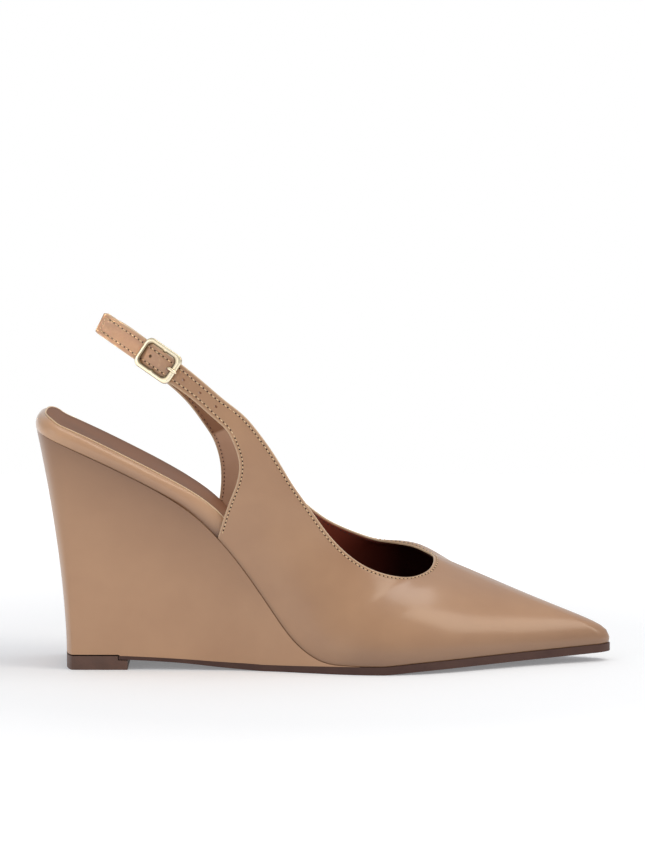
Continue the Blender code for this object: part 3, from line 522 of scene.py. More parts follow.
# Rim of the heel seat: a cubic curve that swells out from the feather line and over to the insole's recess
def buildRand():
    x = stations(heelStations(48), np.linspace(last["heelRound"], rand["front"], 120))
    rim, swell = readColumn(seatTable, "rim", x), readColumn(seatTable, "swell", x)
    recess = readColumn(seatTable, "insole", x) + last["footGap"]
    low = featherHeight(x)
    floor = below(footbedHeight, x, insole["thickness"] + last["gap"])
    exposed = grow(x, rand["end"], -rand["run"])
    high = floor + (below(footbedHeight, x, rand["drop"]) - floor) * exposed
    recess = rim + (recess - rim) * exposed - last["gap"] * (1 - exposed)
    outHandles = rim, rim + rand["lowBulge"] * swell, rim + rand["highBulge"] * swell, recess
    riseHandles, crownHandles = (0, rand["lowShare"], 1, 1), (0, 0, rand["crown"] * exposed, 0)
    columns = []
    way = np.linspace(0, 1, 22)
    for side, drop in ((outer, 0.0), (inner, rand["farDrop"])):
        levels = []
        sunk = drop * exposed * grow(x, 0, last["heelFront"])
        for t in way:
            edge = outlineAt(x, side, cubicCurve(t, outHandles))
            level = low + (high - sunk - low) * cubicCurve(t, riseHandles) + cubicCurve(t, crownHandles)
            levels.append(np.column_stack([edge, level]))
        levels.append(np.column_stack([outlineAt(x, side, recess), floor]))
        columns.append(np.stack(levels, axis=1))
    skin = loft(sideBySide(*columns))
    piece = makePiece("seatRand", *skin, randCalf, "seat_rand", "rand_leather", sharpAngle=60)
    # painted shade over the lower half of the rim, fading in round the back of the heel
    under = rand["shade"] * grow(way, rand["shadeTop"], -rand["shadeTop"]) ** rand["shadePower"]
    under = np.append(under, 0)
    fade = grow(x, rand["shadeStart"], rand["shadeRise"])[:, None]
    addAttribute(piece, "underShade", fade * np.concatenate([under, under[::-1]]))


insole = dict(
    thickness=1.6, toe=221.0, rounding=0.4, dish=1.2, dishEnd=95.0, dishRun=40.0, dishPower=2.6,
    edgeShade=0.45, edgeRun=0.1)


# Insole: the footbed line from edge to edge, dished by one minus a power of the way across
def buildInsole():
    x = stations(
        heelStations(36), np.linspace(last["heelRound"], last["forepart"], 120),
        np.linspace(last["forepart"], insole["toe"], 50))
    out = readColumn(seatTable, "insole", x)
    left, right = outlineAt(x, outer, out), outlineAt(x, inner, out)
    across = np.linspace(0, 1, 25)
    plan = left[:, None] * (1 - across)[:, None] + right[:, None] * across[:, None]
    dish = insole["dish"] * grow(x, insole["dishEnd"], -insole["dishRun"])
    dish = (dish * grow(x, 0, last["heelFront"]))[:, None]
    high = footbedHeight(x)[:, None] - dish * (1 - np.abs(2 * across - 1) ** insole["dishPower"])
    low = np.broadcast_to(below(footbedHeight, x, insole["thickness"])[:, None], high.shape)
    topFace = np.concatenate([plan, high[:, :, None]], axis=2)
    underFace = np.concatenate([plan, low[:, :, None]], axis=2)
    sections = np.concatenate([topFace, underFace[:, ::-1]], axis=1)
    piece = makePiece("insoleSock", *loft(sections), sockSkin, "insole", "insole_leather")
    addForeShades(piece, sections[:, :, 0])
    # painted shade along both edges of the insole
    paintedEdgeShade = insole["edgeShade"] * np.exp(-np.minimum(across, 1 - across) / insole["edgeRun"])
    addAttribute(piece, "edgeShade", np.tile(np.concatenate([paintedEdgeShade, paintedEdgeShade[::-1]]), (len(x), 1)))
    roundEdges(piece, insole["rounding"], 2)


buildSole()
buildLift()
buildWedge()
buildRand()
buildInsole()
print("sole, lift, wedge, heel seat and insole made")

# Upper

upper = dict(
    leather=0.9, wall=1.5, layerGap=0.03, liningSetback=0.7, footTuck=0.3, tuckRun=3.0, footLean=0.09,
    footReach=1.5, strapWidth=9.4, tailCorner=1.2, tailTopCorner=2.1, tailLength=28.0, buckleRow=1.0,
    prongHole=4.9, holePitch=8.4, linesPerHole=30, finePitches=3.6, rowStep=1.25, toeLines=2.5, toeRows=1.3,
    quarterRows=4, strapShape=dict(upright=0.0, swell=0.1, rise=0.5, crown=0.5, reach=0.58),
    grooveDepth=0.09, grooveWidth=0.28, edgeTurns=6, endTurns=3, middleLines=25, edgeRoom=2.2,
    edgeLines=(0.65, 0.85, 1.05, 1.2, 1.35, 1.5, 1.65, 1.8, 2.0, 2.4), holeFade=3.2, holeReach=4.0)

firstVampRow = len(outerStrapTable["footAlong"])
lastVampRow = firstVampRow + len(vampTable["footAlong"]) - 1
toeRow = (firstVampRow + lastVampRow) // 2
lastRow = lastVampRow + len(innerStrapTable["footAlong"])


def strapEdge(rows, part):   # points of one edge from the columns of a table
    return np.column_stack([rows[part + name] for name in ("Along", "Across", "Height")])


def featherPoints(x, side):   # the outline in plan at the height of the feather line
    x = np.minimum(x, last["length"])
    return np.column_stack([outlineAt(x, side), featherHeight(x)])


# Lower edge of the upper: outer strap, feather line round the toe, inner strap, each a spline by row
def footEdge(u):
    vampFoot = vampTable["footAlong"]
    first = np.concatenate([strapEdge(outerStrapTable, "foot"), featherPoints(vampFoot[:1], outer)])
    final = np.concatenate([featherPoints(vampFoot[-1:], inner), strapEdge(innerStrapTable, "foot")])
    vampRows = np.arange(firstVampRow, lastVampRow + 1)
    along = spline(vampRows, vampFoot, np.clip(u, firstVampRow, lastVampRow))
    outerRun = spline(np.arange(firstVampRow + 1), first, np.minimum(u, firstVampRow))
    innerRun = spline(np.arange(lastVampRow, lastRow + 1), final, np.maximum(u, lastVampRow))
    choices = [u < firstVampRow, u < toeRow, u <= lastVampRow]
    runs = [outerRun, featherPoints(along, outer), featherPoints(along, inner)]
    return np.select([choice[:, None] for choice in choices], runs, innerRun)


def topEdge(u):   # upper edge: one spline by row through straps and top line
    tables = outerStrapTable, vampTable, innerStrapTable
    return spline(np.arange(lastRow + 1), np.concatenate([strapEdge(rows, "top") for rows in tables]), u)


def vampColumn(name, u):   # a shape column of the vamp, run out to a fixed value along the straps
    rows = np.arange(firstVampRow, lastVampRow + 1)
    run, strapValue = upper["quarterRows"], [upper["strapShape"][name]]
    places = np.concatenate([[firstVampRow - run], rows, [lastVampRow + run]])
    values = np.concatenate([strapValue, vampTable[name], strapValue])
    return spline(places, values, np.clip(u, places[0], places[-1]))[:, None]


def facing(edge, u):   # level direction square to an edge that runs round the shoe by way of the toe
    step = 0.02
    run = edge(np.clip(u + step, 0, lastRow)) - edge(np.clip(u - step, 0, lastRow))
    return unit(np.column_stack([run[:, 1], -run[:, 0], np.zeros(len(run))]))


# Outer face of the upper: each row is a cubic curve from foot (v = 0) to top line (v = 1). Its handles stand
# up from the foot and lie flat at the top where the row is upright, and follow the chord with a swell where
# it isn't.
def upperSurface(u, v):
    foot, top = footEdge(u), topEdge(u)
    upright, swell = vampColumn("upright", u), vampColumn("swell", u)
    chord = top - foot
    spread = -chord * (1, 1, 0)
    distance = np.linalg.norm(spread, axis=1, keepdims=True)
    up = np.array([0.0, 0.0, 1.0])
    face = facing(topEdge, u) * (1 - upright) + facing(footEdge, u) * upright
    standing = (up + face * upper["footLean"]) * chord[:, 2:] * vampColumn("rise", u)
    flat = (spread - up * vampColumn("crown", u) * distance) * vampColumn("reach", u)
    lower = (chord / 3 + face * swell) * (1 - upright) + standing * upright
    higher = (face * swell - chord / 3) * (1 - upright) + flat * upright
    v = np.asarray(v, float)
    v = v[None, :, None] if v.ndim == 1 else v[:, :, None]
    handles = np.stack([foot, foot + lower, top + higher, top])[:, :, None]
    surface = cubicCurve(v, handles)
    corner = np.where(v > 0.5, upper["tailTopCorner"], upper["tailCorner"])   # round corners of the loose end
    left = np.clip(corner - u[:, None, None] * upper["tailLength"], 0, corner)
    half = upper["strapWidth"] / 2
    share = (half - corner + np.sqrt(corner ** 2 - left ** 2)) / half
    middle = ((foot + top) / 2)[:, None]
    return middle + (surface - middle) * share


# Points of the outer face at distances from the foot of each row, with its directions along, up and out
def wallPoints(u, placeOf):
    count = 160
    dense = upperSurface(u, np.linspace(0, 1, count + 1))
    steps = np.linalg.norm(np.diff(dense, axis=1), axis=2)
    arc = np.concatenate([np.zeros((len(u), 1)), np.cumsum(steps, axis=1)], axis=1)
    place = placeOf(arc[:, -1:])
    k = np.clip((arc[:, None, :] <= place[:, :, None]).sum(axis=2) - 1, 0, count - 1)
    low, high = np.take_along_axis(arc, k, 1), np.take_along_axis(arc, k + 1, 1)
    v = np.clip((k + (place - low) / (high - low)) / count, 0, 1)
    near = 0.004
    before, after = np.clip(u - near, 0, lastRow), np.clip(u + near, 0, lastRow)
    along = upperSurface(after, v) - upperSurface(before, v)
    rise = upperSurface(u, np.clip(v + near, 0, 1)) - upperSurface(u, np.clip(v - near, 0, 1))
    out = unit(np.cross(along, rise))
    return upperSurface(u, v), unit(along), unit(rise), out, place, arc[:, -1:]


# Places along the strip: close lines on the outer strap, in step with its holes, then lines by the longest
# edge, closer round the toe
def stripLines():
    u = np.linspace(0, lastRow, 6001)
    middle = upperSurface(u, np.array([0.5]))[:, 0]
    arc = arcAlong(middle)
    prong = np.interp(upper["buckleRow"], u, arc) + upper["prongHole"]
    step = upper["holePitch"] / upper["linesPerHole"]
    before = int((prong - upper["leather"] / 2) / step)
    after = int(upper["finePitches"] * upper["linesPerHole"])
    fine = prong + np.arange(-before, after) * step
    start = np.interp(fine[-1], arc, u)
    lengths = [np.linalg.norm(np.diff(edge, axis=0), axis=1) for edge in (footEdge(u), middle, topEdge(u))]
    closer = 1 + upper["toeLines"] * np.exp(-((u[1:] - toeRow) / upper["toeRows"]) ** 2)
    measure = np.max(lengths, axis=0) * closer
    measure = np.concatenate([[0], np.cumsum(np.where(u[1:] > start, measure, 0))])
    rest = np.interp(np.linspace(0, measure[-1], int(measure[-1] / upper["rowStep"]))[1:], measure, u)
    return np.concatenate([np.interp(fine, arc, u), rest]), before, arc, u


stitch = dict(   # lengths in millimetres, places in rows past the vamp
    inset=1.5, strapInset=0.4, pitch=1.9, strapPitch=2.1, backPitch=1.6, length=0.62, liningLength=0.42,
    radius=0.2, rise=0.08, dip=0.1, blunt=1.05, rings=7, sides=6,
    holeRadius=0.34, holeSides=8, rimDepth=0.02, floorDepth=0.055, pointDepth=0.3,
    strapRows=5.5, backRows=4.5, cornerRows=0.12, endRows=0.05, samples=60)


def pastVamp(u):   # rows beyond the vamp, along either strap
    return np.maximum(firstVampRow - u, u - lastVampRow)


def footStitched(u):   # stitching on the lower edge: along straps and back edges, none on the feather line
    return grow(pastVamp(u), 0, stitch["cornerRows"])[:, None]


def stitchInset(u):   # distance of the stitching from an edge, a little more along the straps
    strap = grow(pastVamp(u), stitch["strapRows"], 1)
    return (stitch["inset"] + stitch["strapInset"] * strap)[:, None]


# Columns round a layer: half of the foot edge, outer face, top edge, inner face, other half of the foot edge
def aroundLayer(foot, outside, top, inside):
    half = upper["edgeTurns"] // 2
    return np.concatenate(
        [foot[:, half - 1::-1], outside, top, inside[:, ::-1], foot[:, :half - 1:-1]], axis=1)


def withEnds(rows):   # the first and last row again, for the rings that round the ends of the strip
    count = upper["endTurns"]
    return np.concatenate([rows[:1].repeat(count, 0), rows, rows[-1:].repeat(count, 0)])


# Grid moved round the holes: square rings of lines become circles, which run out into the grid again
def drawHoles(points, along, rise, across):
    step = upper["holePitch"] / upper["linesPerHole"]
    centreLine = across.shape[1] // 2
    for hole in strapHoles:
        run = ((np.arange(len(points)) - beforeProng - hole["line"]) * step)[:, None] + 0 * across
        blockAcross = across[beforeProng, centreLine + hole["halfAcross"]]
        square = np.stack([run / (hole["halfAlong"] * step), across / blockAcross], axis=-1)
        ring = np.abs(square).max(axis=-1)
        circle = unit(square) * (ring * hole["radius"])[..., None]
        weight = grow(ring, upper["holeFade"], 1 - upper["holeFade"])
        weight = (weight * (np.abs(run) < upper["holeReach"]))[..., None]
        shift = (circle - np.stack([run, across], axis=-1)) * weight
        points = points + along * shift[..., :1] + rise * shift[..., 1:]
    return points


# Blocks of the grid inside the holes taken out of both faces, which are joined round each gap
def openHoles(faces, size, columns):
    half = upper["edgeTurns"] // 2
    for hole in strapHoles:
        line = beforeProng + hole["line"] + upper["endTurns"]
        i = np.arange(-hole["halfAlong"], hole["halfAlong"] + 1) + line
        j = np.arange(-hole["halfAcross"], hole["halfAcross"] + 1) + columns // 2
        there = [(a, j[0]) for a in i[:-1]] + [(i[-1], b) for b in j[:-1]]
        back = [(a, j[-1]) for a in i[:0:-1]] + [(i[0], b) for b in j[:0:-1]]
        walk = np.array(there + back)
        walls = []
        for start, way in ((half, 1), (size - half - 1, -1)):   # up the outer face, down the inner one
            gone = np.isin(faces // size, i).all(axis=1) & np.isin(faces % size, start + way * j).all(axis=1)
            faces = faces[~gone]
            rim = walk[:, 0] * size + start + way * walk[:, 1]
            walls.append(np.stack([rim, np.roll(rim, -1)], axis=1))
        faces = np.concatenate([faces, np.concatenate([walls[0], walls[1][:, ::-1]], axis=1)])
    return faces


upperTone = dict(
    edgeGlow=0.2, liningGlow=0.5, faceLight=0.3, footShade=0.55, seamRun=1.1, shadeRun=8.0, shadeStart=104.0,
    shadeRise=26.0, lineShade=0.8, lineRun=3.0, lineRow=24.5, lineRows=2.0,
    turnedLight=(0.35, 0.6, 0.9, 1.0, 1.0, 1.0))   # painted highlight, brightest on the inner half of the turned edge


# Tones of a layer: painted light falls off from the turned edges as an exponential, a painted highlight over
# their paler calf. Painted shade falls off from the foot as a bell, narrow along the wedge and wide over the
# sole, and from the top line beside the throat.
def layerTones(u, place, length, radius, footAlong):
    tone = upperTone
    stitched = footStitched(u)
    nearEdge = np.minimum(length - place, np.where(stitched > 0, place, np.inf))
    fromEdge = np.maximum(nearEdge - radius, 0)
    turned = np.tile(tone["turnedLight"], (len(u), 1))
    outside, inside = (np.exp(-fromEdge / tone[glow]) for glow in ("edgeGlow", "liningGlow"))
    light = aroundLayer(stitched * turned, tone["faceLight"] * outside, turned, inside)
    overSole = grow(footAlong, tone["shadeStart"], tone["shadeRise"])
    narrow, wide = (np.exp(-(place / tone[run]) ** 2) for run in ("seamRun", "shadeRun"))
    paintedShade = (narrow * (1 - overSole) + wide * overSole) * (1 - stitched)
    beside = np.exp(-((u - tone["lineRow"]) / tone["lineRows"])[:, None] ** 2)
    paintedShade = np.maximum(paintedShade, tone["lineShade"] * np.exp(-(length - place) / tone["lineRun"]) * beside)
    shade = aroundLayer(paintedShade[:, :1] + 0 * turned, paintedShade, 0 * turned, paintedShade)
    return dict(
        edgeLight=withEnds(light), footShade=withEnds(tone["footShade"] * shade),
        strip=withEnds(u[:, None] + 0 * light))


# One layer of the upper as a closed skin: outer face, round top edge, inner face, round foot edge. Holes are
# blocks of the grid left open, whose edge is moved out to a circle and joined through the layer.
def layerMesh(u, high, low, setback):
    radius = (high - low) / 2
    firstLine = radius + setback
    edge = np.unique(np.maximum(np.append(upper["edgeLines"], firstLine), firstLine))
    split = np.linspace(0, 1, upper["middleLines"] + 2)[1:-1]

    def placeOf(length):   # close lines beside both edges, even ones between them
        near = edge * np.minimum(1, length / (upper["edgeRoom"] * edge[-1]))
        far = length - near[:, ::-1]
        return np.concatenate([near, near[:, -1:] + (far[:, :1] - near[:, -1:]) * split, far], axis=1)

    points, along, rise, out, place, length = wallPoints(u, placeOf)
    stitched, row = footStitched(u), stitchInset(u)
    groove = np.exp(-((length - place - row) / upper["grooveWidth"]) ** 2)
    groove = np.maximum(groove, stitched * np.exp(-((place - row) / upper["grooveWidth"]) ** 2))
    groove = upper["grooveDepth"] * groove
    tuck = grow(place, upper["tuckRun"], -upper["tuckRun"]) ** 2 * (1 - stitched)
    points = points - out * (upper["footTuck"] * tuck)[..., None]
    points = drawHoles(points, along, rise, place - length / 2)
    outerFace = points + out * (high - groove * (high == 0))[..., None]   # only on the faces in sight
    innerFace = points + out * (low + groove * (low <= -upper["wall"]))[..., None]
    middleFace = points + out * ((high + low) / 2)
    arcTurn = (np.arange(upper["edgeTurns"]) + 0.5) * math.pi / upper["edgeTurns"]

    def edgeRound(column, heading):   # half a circle over an edge, and its middle
        centre, normal = middleFace[:, column, None], out[:, column, None]
        bulge = heading[:, None] * (radius * np.sin(arcTurn))[:, None]
        return centre + bulge + normal * (radius * np.cos(arcTurn))[:, None], centre + bulge

    topRound, topMiddle = edgeRound(-1, rise[:, -1])
    reach = 1 + (upper["footReach"] - 1) * (1 - stitched) * (high == 0)
    footRound, footMiddle = edgeRound(0, -rise[:, 0] * reach)   # hidden behind the wedge and the sole
    ring = aroundLayer(footRound, outerFace, topRound, innerFace)
    core = aroundLayer(footMiddle, middleFace, topMiddle, middleFace)
    turns = np.linspace(0, math.pi / 2, upper["endTurns"] + 2)[1:-1, None, None]
    ends = []
    for at, side in ((0, -1), (-1, 1)):   # round the two ends of the strip
        heading = side * unit(along[at].mean(axis=0))
        rings = core[at] + (ring[at] - core[at]) * np.cos(turns) + heading * radius * np.sin(turns)
        ends.append(rings[::side])
    sections, faces = loft(np.concatenate([ends[0], ring, ends[1]]))
    faces = openHoles(faces, sections.shape[1], points.shape[1])
    used = np.unique(faces)
    tones = layerTones(u, place, length, radius, outerFace[:, :1, 0])
    tones = {name: values.ravel()[used] for name, values in tones.items()}
    return sections.reshape(-1, 3)[used], np.searchsorted(used, faces), tones


stripU, beforeProng, stripArc, stripPlaces = stripLines()
plainHole = dict(halfAlong=2, halfAcross=3, radius=0.6)   # in lines of the grid, and millimetres
holeShift = -2   # lines, towards the loose end
strapHoles = [dict(plainHole, line=k * upper["linesPerHole"] + holeShift) for k in (-1, 1, 2, 3)]
strapHoles.append(dict(line=0, halfAlong=3, halfAcross=5, radius=1.0))   # the prong stands in this one
points, faces, tones = layerMesh(stripU, 0.0, -upper["leather"], 0.0)
upperLeather = makePiece("upperLeather", points, faces, camelCalf, "upper", "camel_leather", sharpAngle=60)
for tone in ("edgeLight", "footShade"):
    addAttribute(upperLeather, tone, tones[tone])
points, faces, tones = layerMesh(
    stripU, -upper["leather"] - upper["layerGap"], -upper["wall"], upper["liningSetback"])
upperLining = makePiece("upperLining", points, faces, liningSkin, None, "insole_leather", sharpAngle=60)
liningSeam = dict(outer=3.5, inner=4.2, width=0.05)   # in rows past the vamp
pastSeam = np.maximum(
    firstVampRow - liningSeam["outer"] - tones["strip"], tones["strip"] - lastVampRow - liningSeam["inner"])
addAttribute(upperLining, "strapShare", grow(pastSeam, 0, liningSeam["width"]))
addForeShades(upperLining, points[:, 0])
print("upper made:", len(upperLeather.data.polygons), "and", len(upperLining.data.polygons), "faces")


# Row of stitches: each is a short bead along the path that dips at both ends, with a needle hole after it
def stitchRow(path, normal, pitch, share):
    arc = arcAlong(path)
    count = max(1, int(round(arc[-1] / pitch)))
    pitch = arc[-1] / count
    heading = unit(np.gradient(path, axis=0))
    side = np.cross(normal, heading)

    def at(places, rows):   # values at lengths along the path
        return np.stack([np.interp(places, arc, rows[:, c]) for c in range(3)], axis=-1)

    t = np.linspace(-1, 1, stitch["rings"])
    places = (np.arange(count) + 0.5)[:, None] * pitch + t * pitch * share / 2
    radius = (stitch["radius"] * np.sqrt(stitch["blunt"] - t ** 4))[:, None]
    height = (stitch["rise"] * (1 - t ** 2) - stitch["dip"] * t ** 2)[:, None]
    turn = np.arange(stitch["sides"]) * 2 * math.pi / stitch["sides"]
    out, aside, middle = (at(places, rows)[:, :, None] for rows in (normal, side, path))
    beads = middle + out * (height + radius * np.sin(turn))[:, :, None]
    beads = beads + aside * (radius * np.cos(turn))[:, :, None]
    spots = np.arange(1, count) * pitch
    turn = (np.arange(stitch["holeSides"]) * 2 * math.pi / stitch["holeSides"])[:, None]
    out, aside, run, spot = (at(spots, rows)[:, None] for rows in (normal, side, heading, path))
    rim = spot + stitch["holeRadius"] * (run * np.cos(turn) + aside * np.sin(turn)) - stitch["rimDepth"] * out
    floor, point = spot - stitch["floorDepth"] * out, spot - stitch["pointDepth"] * out
    return beads, np.concatenate([rim, floor, point], axis=1)


def beadFaces(count):   # one bead is a tube with flat ends of two quads
    rings, sides = stitch["rings"], stitch["sides"]
    cap = np.array([[0, 1, 2, 3], [0, 3, 4, 5]])
    one = np.concatenate([gridFaces(rings, sides, ring=True), cap, cap[:, ::-1] + (rings - 1) * sides])
    return (one + rings * sides * np.arange(count)[:, None, None]).reshape(-1, 4)


def dishFaces(count):   # one needle hole is a rim with a shallow floor and a point under it
    k = np.arange(stitch["holeSides"])
    after, floor, point = np.roll(k, -1), np.full(len(k), len(k)), np.full(len(k), len(k) + 1)
    one = np.concatenate([np.stack([k, after, floor], axis=1), np.stack([after, k, point], axis=1)])
    return (one + (len(k) + 2) * np.arange(count)[:, None, None]).reshape(-1, 3)


# Paths of the stitch rows on the outer face: along the top line, the lower edges of both straps, and across
# the loose end
def stitchPaths(depth):
    row = stitch["inset"] + stitch["strapInset"]
    tail = np.interp(row, stripArc, stripPlaces)
    end = lastRow - stitch["endRows"]
    strap, back, corner = stitch["strapRows"], stitch["backRows"], stitch["cornerRows"]
    way = 1 if depth == 0 else -1
    runs = []
    for first, final, fromTop, pitch in (
            (tail, firstVampRow - strap, True, "strapPitch"),
            (firstVampRow - strap, lastVampRow + strap, True, "pitch"),
            (lastVampRow + strap, end, True, "strapPitch"),
            (tail, firstVampRow - back, False, "strapPitch"),
            (firstVampRow - back, firstVampRow - corner, False, "backPitch"),
            (lastVampRow + corner, lastVampRow + back, False, "backPitch"),
            (lastVampRow + back, end, False, "strapPitch")):
        u = np.linspace(first, final, int((final - first) * stitch["samples"]))
        inset = stitchInset(u)
        points, _, _, out = wallPoints(u, lambda length: length * fromTop + (1 - 2 * fromTop) * inset)[:4]
        runs.append((points[:, 0] + out[:, 0] * depth, out[:, 0] * way, stitch[pitch]))
    u = np.array([tail, tail + 0.01])
    points, _, _, out = wallPoints(u, lambda length: row + (length - 2 * row) * np.linspace(0, 1, 40))[:4]
    runs.append((points[0] + out[0] * depth, out[0] * way, stitch["strapPitch"]))
    return runs


# Thread of all rows at a depth under the outer face, and the needle holes on that face
def buildStitches(name, depth, thread, slot, share):
    made = [stitchRow(*run, share) for run in stitchPaths(depth)]
    beads = np.concatenate([bead for bead, _ in made])
    dishes = np.concatenate([dish for _, dish in made])
    makePiece(name + "Thread", beads, beadFaces(len(beads)), thread, None, slot, sharpAngle=80)
    if depth == 0:   # the lining closes round its thread, and shows no holes
        makePiece(name + "Needle", dishes, dishFaces(len(dishes)), needleDark, None, slot)
    return len(beads)


topCount = buildStitches("topStitch", 0.0, calfThread, "camel_leather", stitch["length"])
liningCount = buildStitches(
    "liningStitch", -upper["wall"], darkThread, "insole_leather", stitch["liningLength"])
print("stitches made:", topCount, "and", liningCount)

# Buckle

buckle = dict(
    length=17.6, width=13.1, thickness=1.5, corner=2.9, innerCorner=2.1, faceSquare=0.55, edgeSquare=0.75,
    rail=2.1, rearBar=1.8, frontBar=2.7, bar=0.6, barBend=1.0, lug=0.45, lugWidth=0.6, lift=0.3, upShift=0.4,
    outerRim=0.82, innerRim=0.25, rimRun=0.25, rimShade=0.9, prong=0.7, prongSeat=0.65, prongSlope=1.6,
    prongRear=(1.0, 2.0), prongFront=(7.1, 8.1, 8.8, 9.5), prongDrop=(0.0, 0.0, 0.03, 0.08),
    prongTaper=(0.85, 0.45))
barDepth = upper["wall"] + buckle["lift"] + buckle["bar"]

buckleRows = upper["buckleRow"] + np.array([0.0, 0.05])
centre = wallPoints(buckleRows, lambda length: length / 2)[0][:, 0]
lowEnd, highEnd = upperSurface(buckleRows[:1], np.array([0.0, 1.0]))[0]
alongStrap = unit(centre[1] - centre[0])
acrossStrap = unit((highEnd - lowEnd) - alongStrap * ((highEnd - lowEnd) @ alongStrap))
outStrap = np.cross(alongStrap, acrossStrap)


def onStrap(x, y, z):   # place on the buckle's own axes: along the strap, across it and out from it
    axes = zip((x, y, z), (alongStrap, acrossStrap, outStrap))
    middle = centre[0] + buckle["upShift"] * acrossStrap
    return middle + sum(np.multiply.outer(part, axis) for part, axis in axes)


# Flat outline with round corners: quarter circles joined by straight runs, as many points on every one
def roundedOutline(rear, front, halfWidth, radius):
    turn = np.linspace(0, math.pi / 2, 14)
    corners = []
    for quarter, (x, y) in enumerate((
            (front - radius, halfWidth - radius), (rear + radius, halfWidth - radius),
            (rear + radius, radius - halfWidth), (front - radius, radius - halfWidth))):
        angle = turn + quarter * math.pi / 2
        corners.append(np.column_stack([x + radius * np.cos(angle), y + radius * np.sin(angle)]))
    way = np.linspace(0, 1, 26)[1:-1, None]
    runs = []
    for quarter, corner in enumerate(corners):
        after = corners[(quarter + 1) % 4]
        runs += [corner, corner[-1] + (after[0] - corner[-1]) * way]
    return np.concatenate(runs)


# Frame: a squarish section, by powers of cosine and sine, between the outer outline and the opening
def buildFrame():
    half, halfWidth = buckle["length"] / 2, buckle["width"] / 2
    rim = roundedOutline(-half, half, halfWidth, buckle["corner"])
    opening = roundedOutline(
        buckle["rearBar"] - half, half - buckle["frontBar"], halfWidth - buckle["rail"],
        buckle["innerCorner"])
    lugs = buckle["lug"] * np.exp(-(opening[:, 0] / buckle["lugWidth"]) ** 4)   # they hold the bar
    opening[:, 1] -= np.sign(opening[:, 1]) * lugs
    turn = (np.arange(16) + 0.5) * math.pi / 8
    flat = np.sign(np.cos(turn)) * np.abs(np.cos(turn)) ** buckle["faceSquare"]
    deep = np.sign(np.sin(turn)) * np.abs(np.sin(turn)) ** buckle["edgeSquare"]
    plan = (rim + opening)[:, None] / 2 + (rim - opening)[:, None] / 2 * flat[:, None]
    level = buckle["lift"] + buckle["thickness"] / 2 * (1 + deep)
    points = onStrap(plan[:, :, 0], plan[:, :, 1], np.broadcast_to(level, plan.shape[:2]))
    faces = gridFaces(len(rim), len(turn), ring=True, loop=True)
    piece = makePiece("buckleFrame", points, faces, goldPlate, "buckle_frame", "frame_gold", sharpAngle=70)
    # painted shade and dark reflection on the rims of the section, inside and outside
    pastRim = np.where(flat > 0, flat - buckle["outerRim"], -flat - buckle["innerRim"])
    paintedRimShade = buckle["rimShade"] * grow(pastRim, 0, buckle["rimRun"])
    addAttribute(piece, "paintedRimShade", np.tile(paintedRimShade, (len(rim), 1)))


def goldWire(name, path, radius, up, node, slot):   # a round wire with flat ends
    sections = tubeAlong(path, radius, 14, up)
    makePiece(name, *loft(sections[:, ::-1]), goldPlate, node, slot, sharpAngle=70)


# Centre bar: down from one rail, in by a quarter circle, along behind the strap, and up to the other rail
def buildBar():
    reach, bend = (buckle["width"] - buckle["rail"]) / 2, buckle["barBend"]
    angle = np.linspace(0, math.pi / 2, 8)
    side = np.column_stack([reach - bend + bend * np.cos(angle), bend - barDepth - bend * np.sin(angle)])
    side = np.concatenate([[[reach, buckle["lift"] + buckle["thickness"] / 2]], side])
    path = np.concatenate([side, side[::-1] * (-1, 1)])
    path = onStrap(0 * path[:, 0], path[:, 0], path[:, 1])
    goldWire("buckleBar", path, buckle["bar"], alongStrap, None, "frame_gold")


# Prong: from the bar behind the strap, up through its hole as half a sine wave, and out over the front bar
def buildProng():
    under, rest = -barDepth, buckle["lift"] + buckle["thickness"] + buckle["prongSeat"]
    angle = np.linspace(-math.pi / 2, math.pi / 2, 19)
    x = upper["prongHole"] + buckle["prongSlope"] * angle / math.pi * (1 + np.abs(angle) / math.pi)
    z = (under + rest) / 2 + (rest - under) / 2 * np.sin(angle)
    x = np.concatenate([buckle["prongRear"], x, buckle["prongFront"]])
    z = np.concatenate([[under, under], z, rest - np.array(buckle["prongDrop"])])
    radius = np.full(len(x), buckle["prong"])
    radius[-2:] *= buckle["prongTaper"]
    goldWire("buckleProng", onStrap(x, 0 * x, z), radius, acrossStrap, "buckle_prong", "prong_gold")


buildFrame()
buildBar()
buildProng()
print("buckle made")

# Pale bead between rand and insole: a thin round edge along the insole's rim, round the heel
seatBead = dict(front=84.0, radius=0.3, out=0.28, lift=0.12, farDrop=0.65)


def buildSeatBead():
    x = stations(heelStations(50), np.linspace(last["heelRound"], seatBead["front"], 90))
    runs = []
    for side, drop in ((outer, 0.0), (inner, seatBead["farDrop"])):
        out = readColumn(seatTable, "insole", x) + seatBead["out"]
        sunk = drop * grow(x, 0, last["heelFront"])
        runs.append(np.column_stack([outlineAt(x, side, out), footbedHeight(x) + seatBead["lift"] - sunk]))
    path = np.concatenate([runs[0][::-1], runs[1]])
    skin = loft(tubeAlong(path, seatBead["radius"], 10))
    makePiece("seatBead", *skin, edgeCalf, None, "rand_leather", sharpAngle=80)


buildSeatBead()
print("heel seat bead made")

# Floor, light and camera

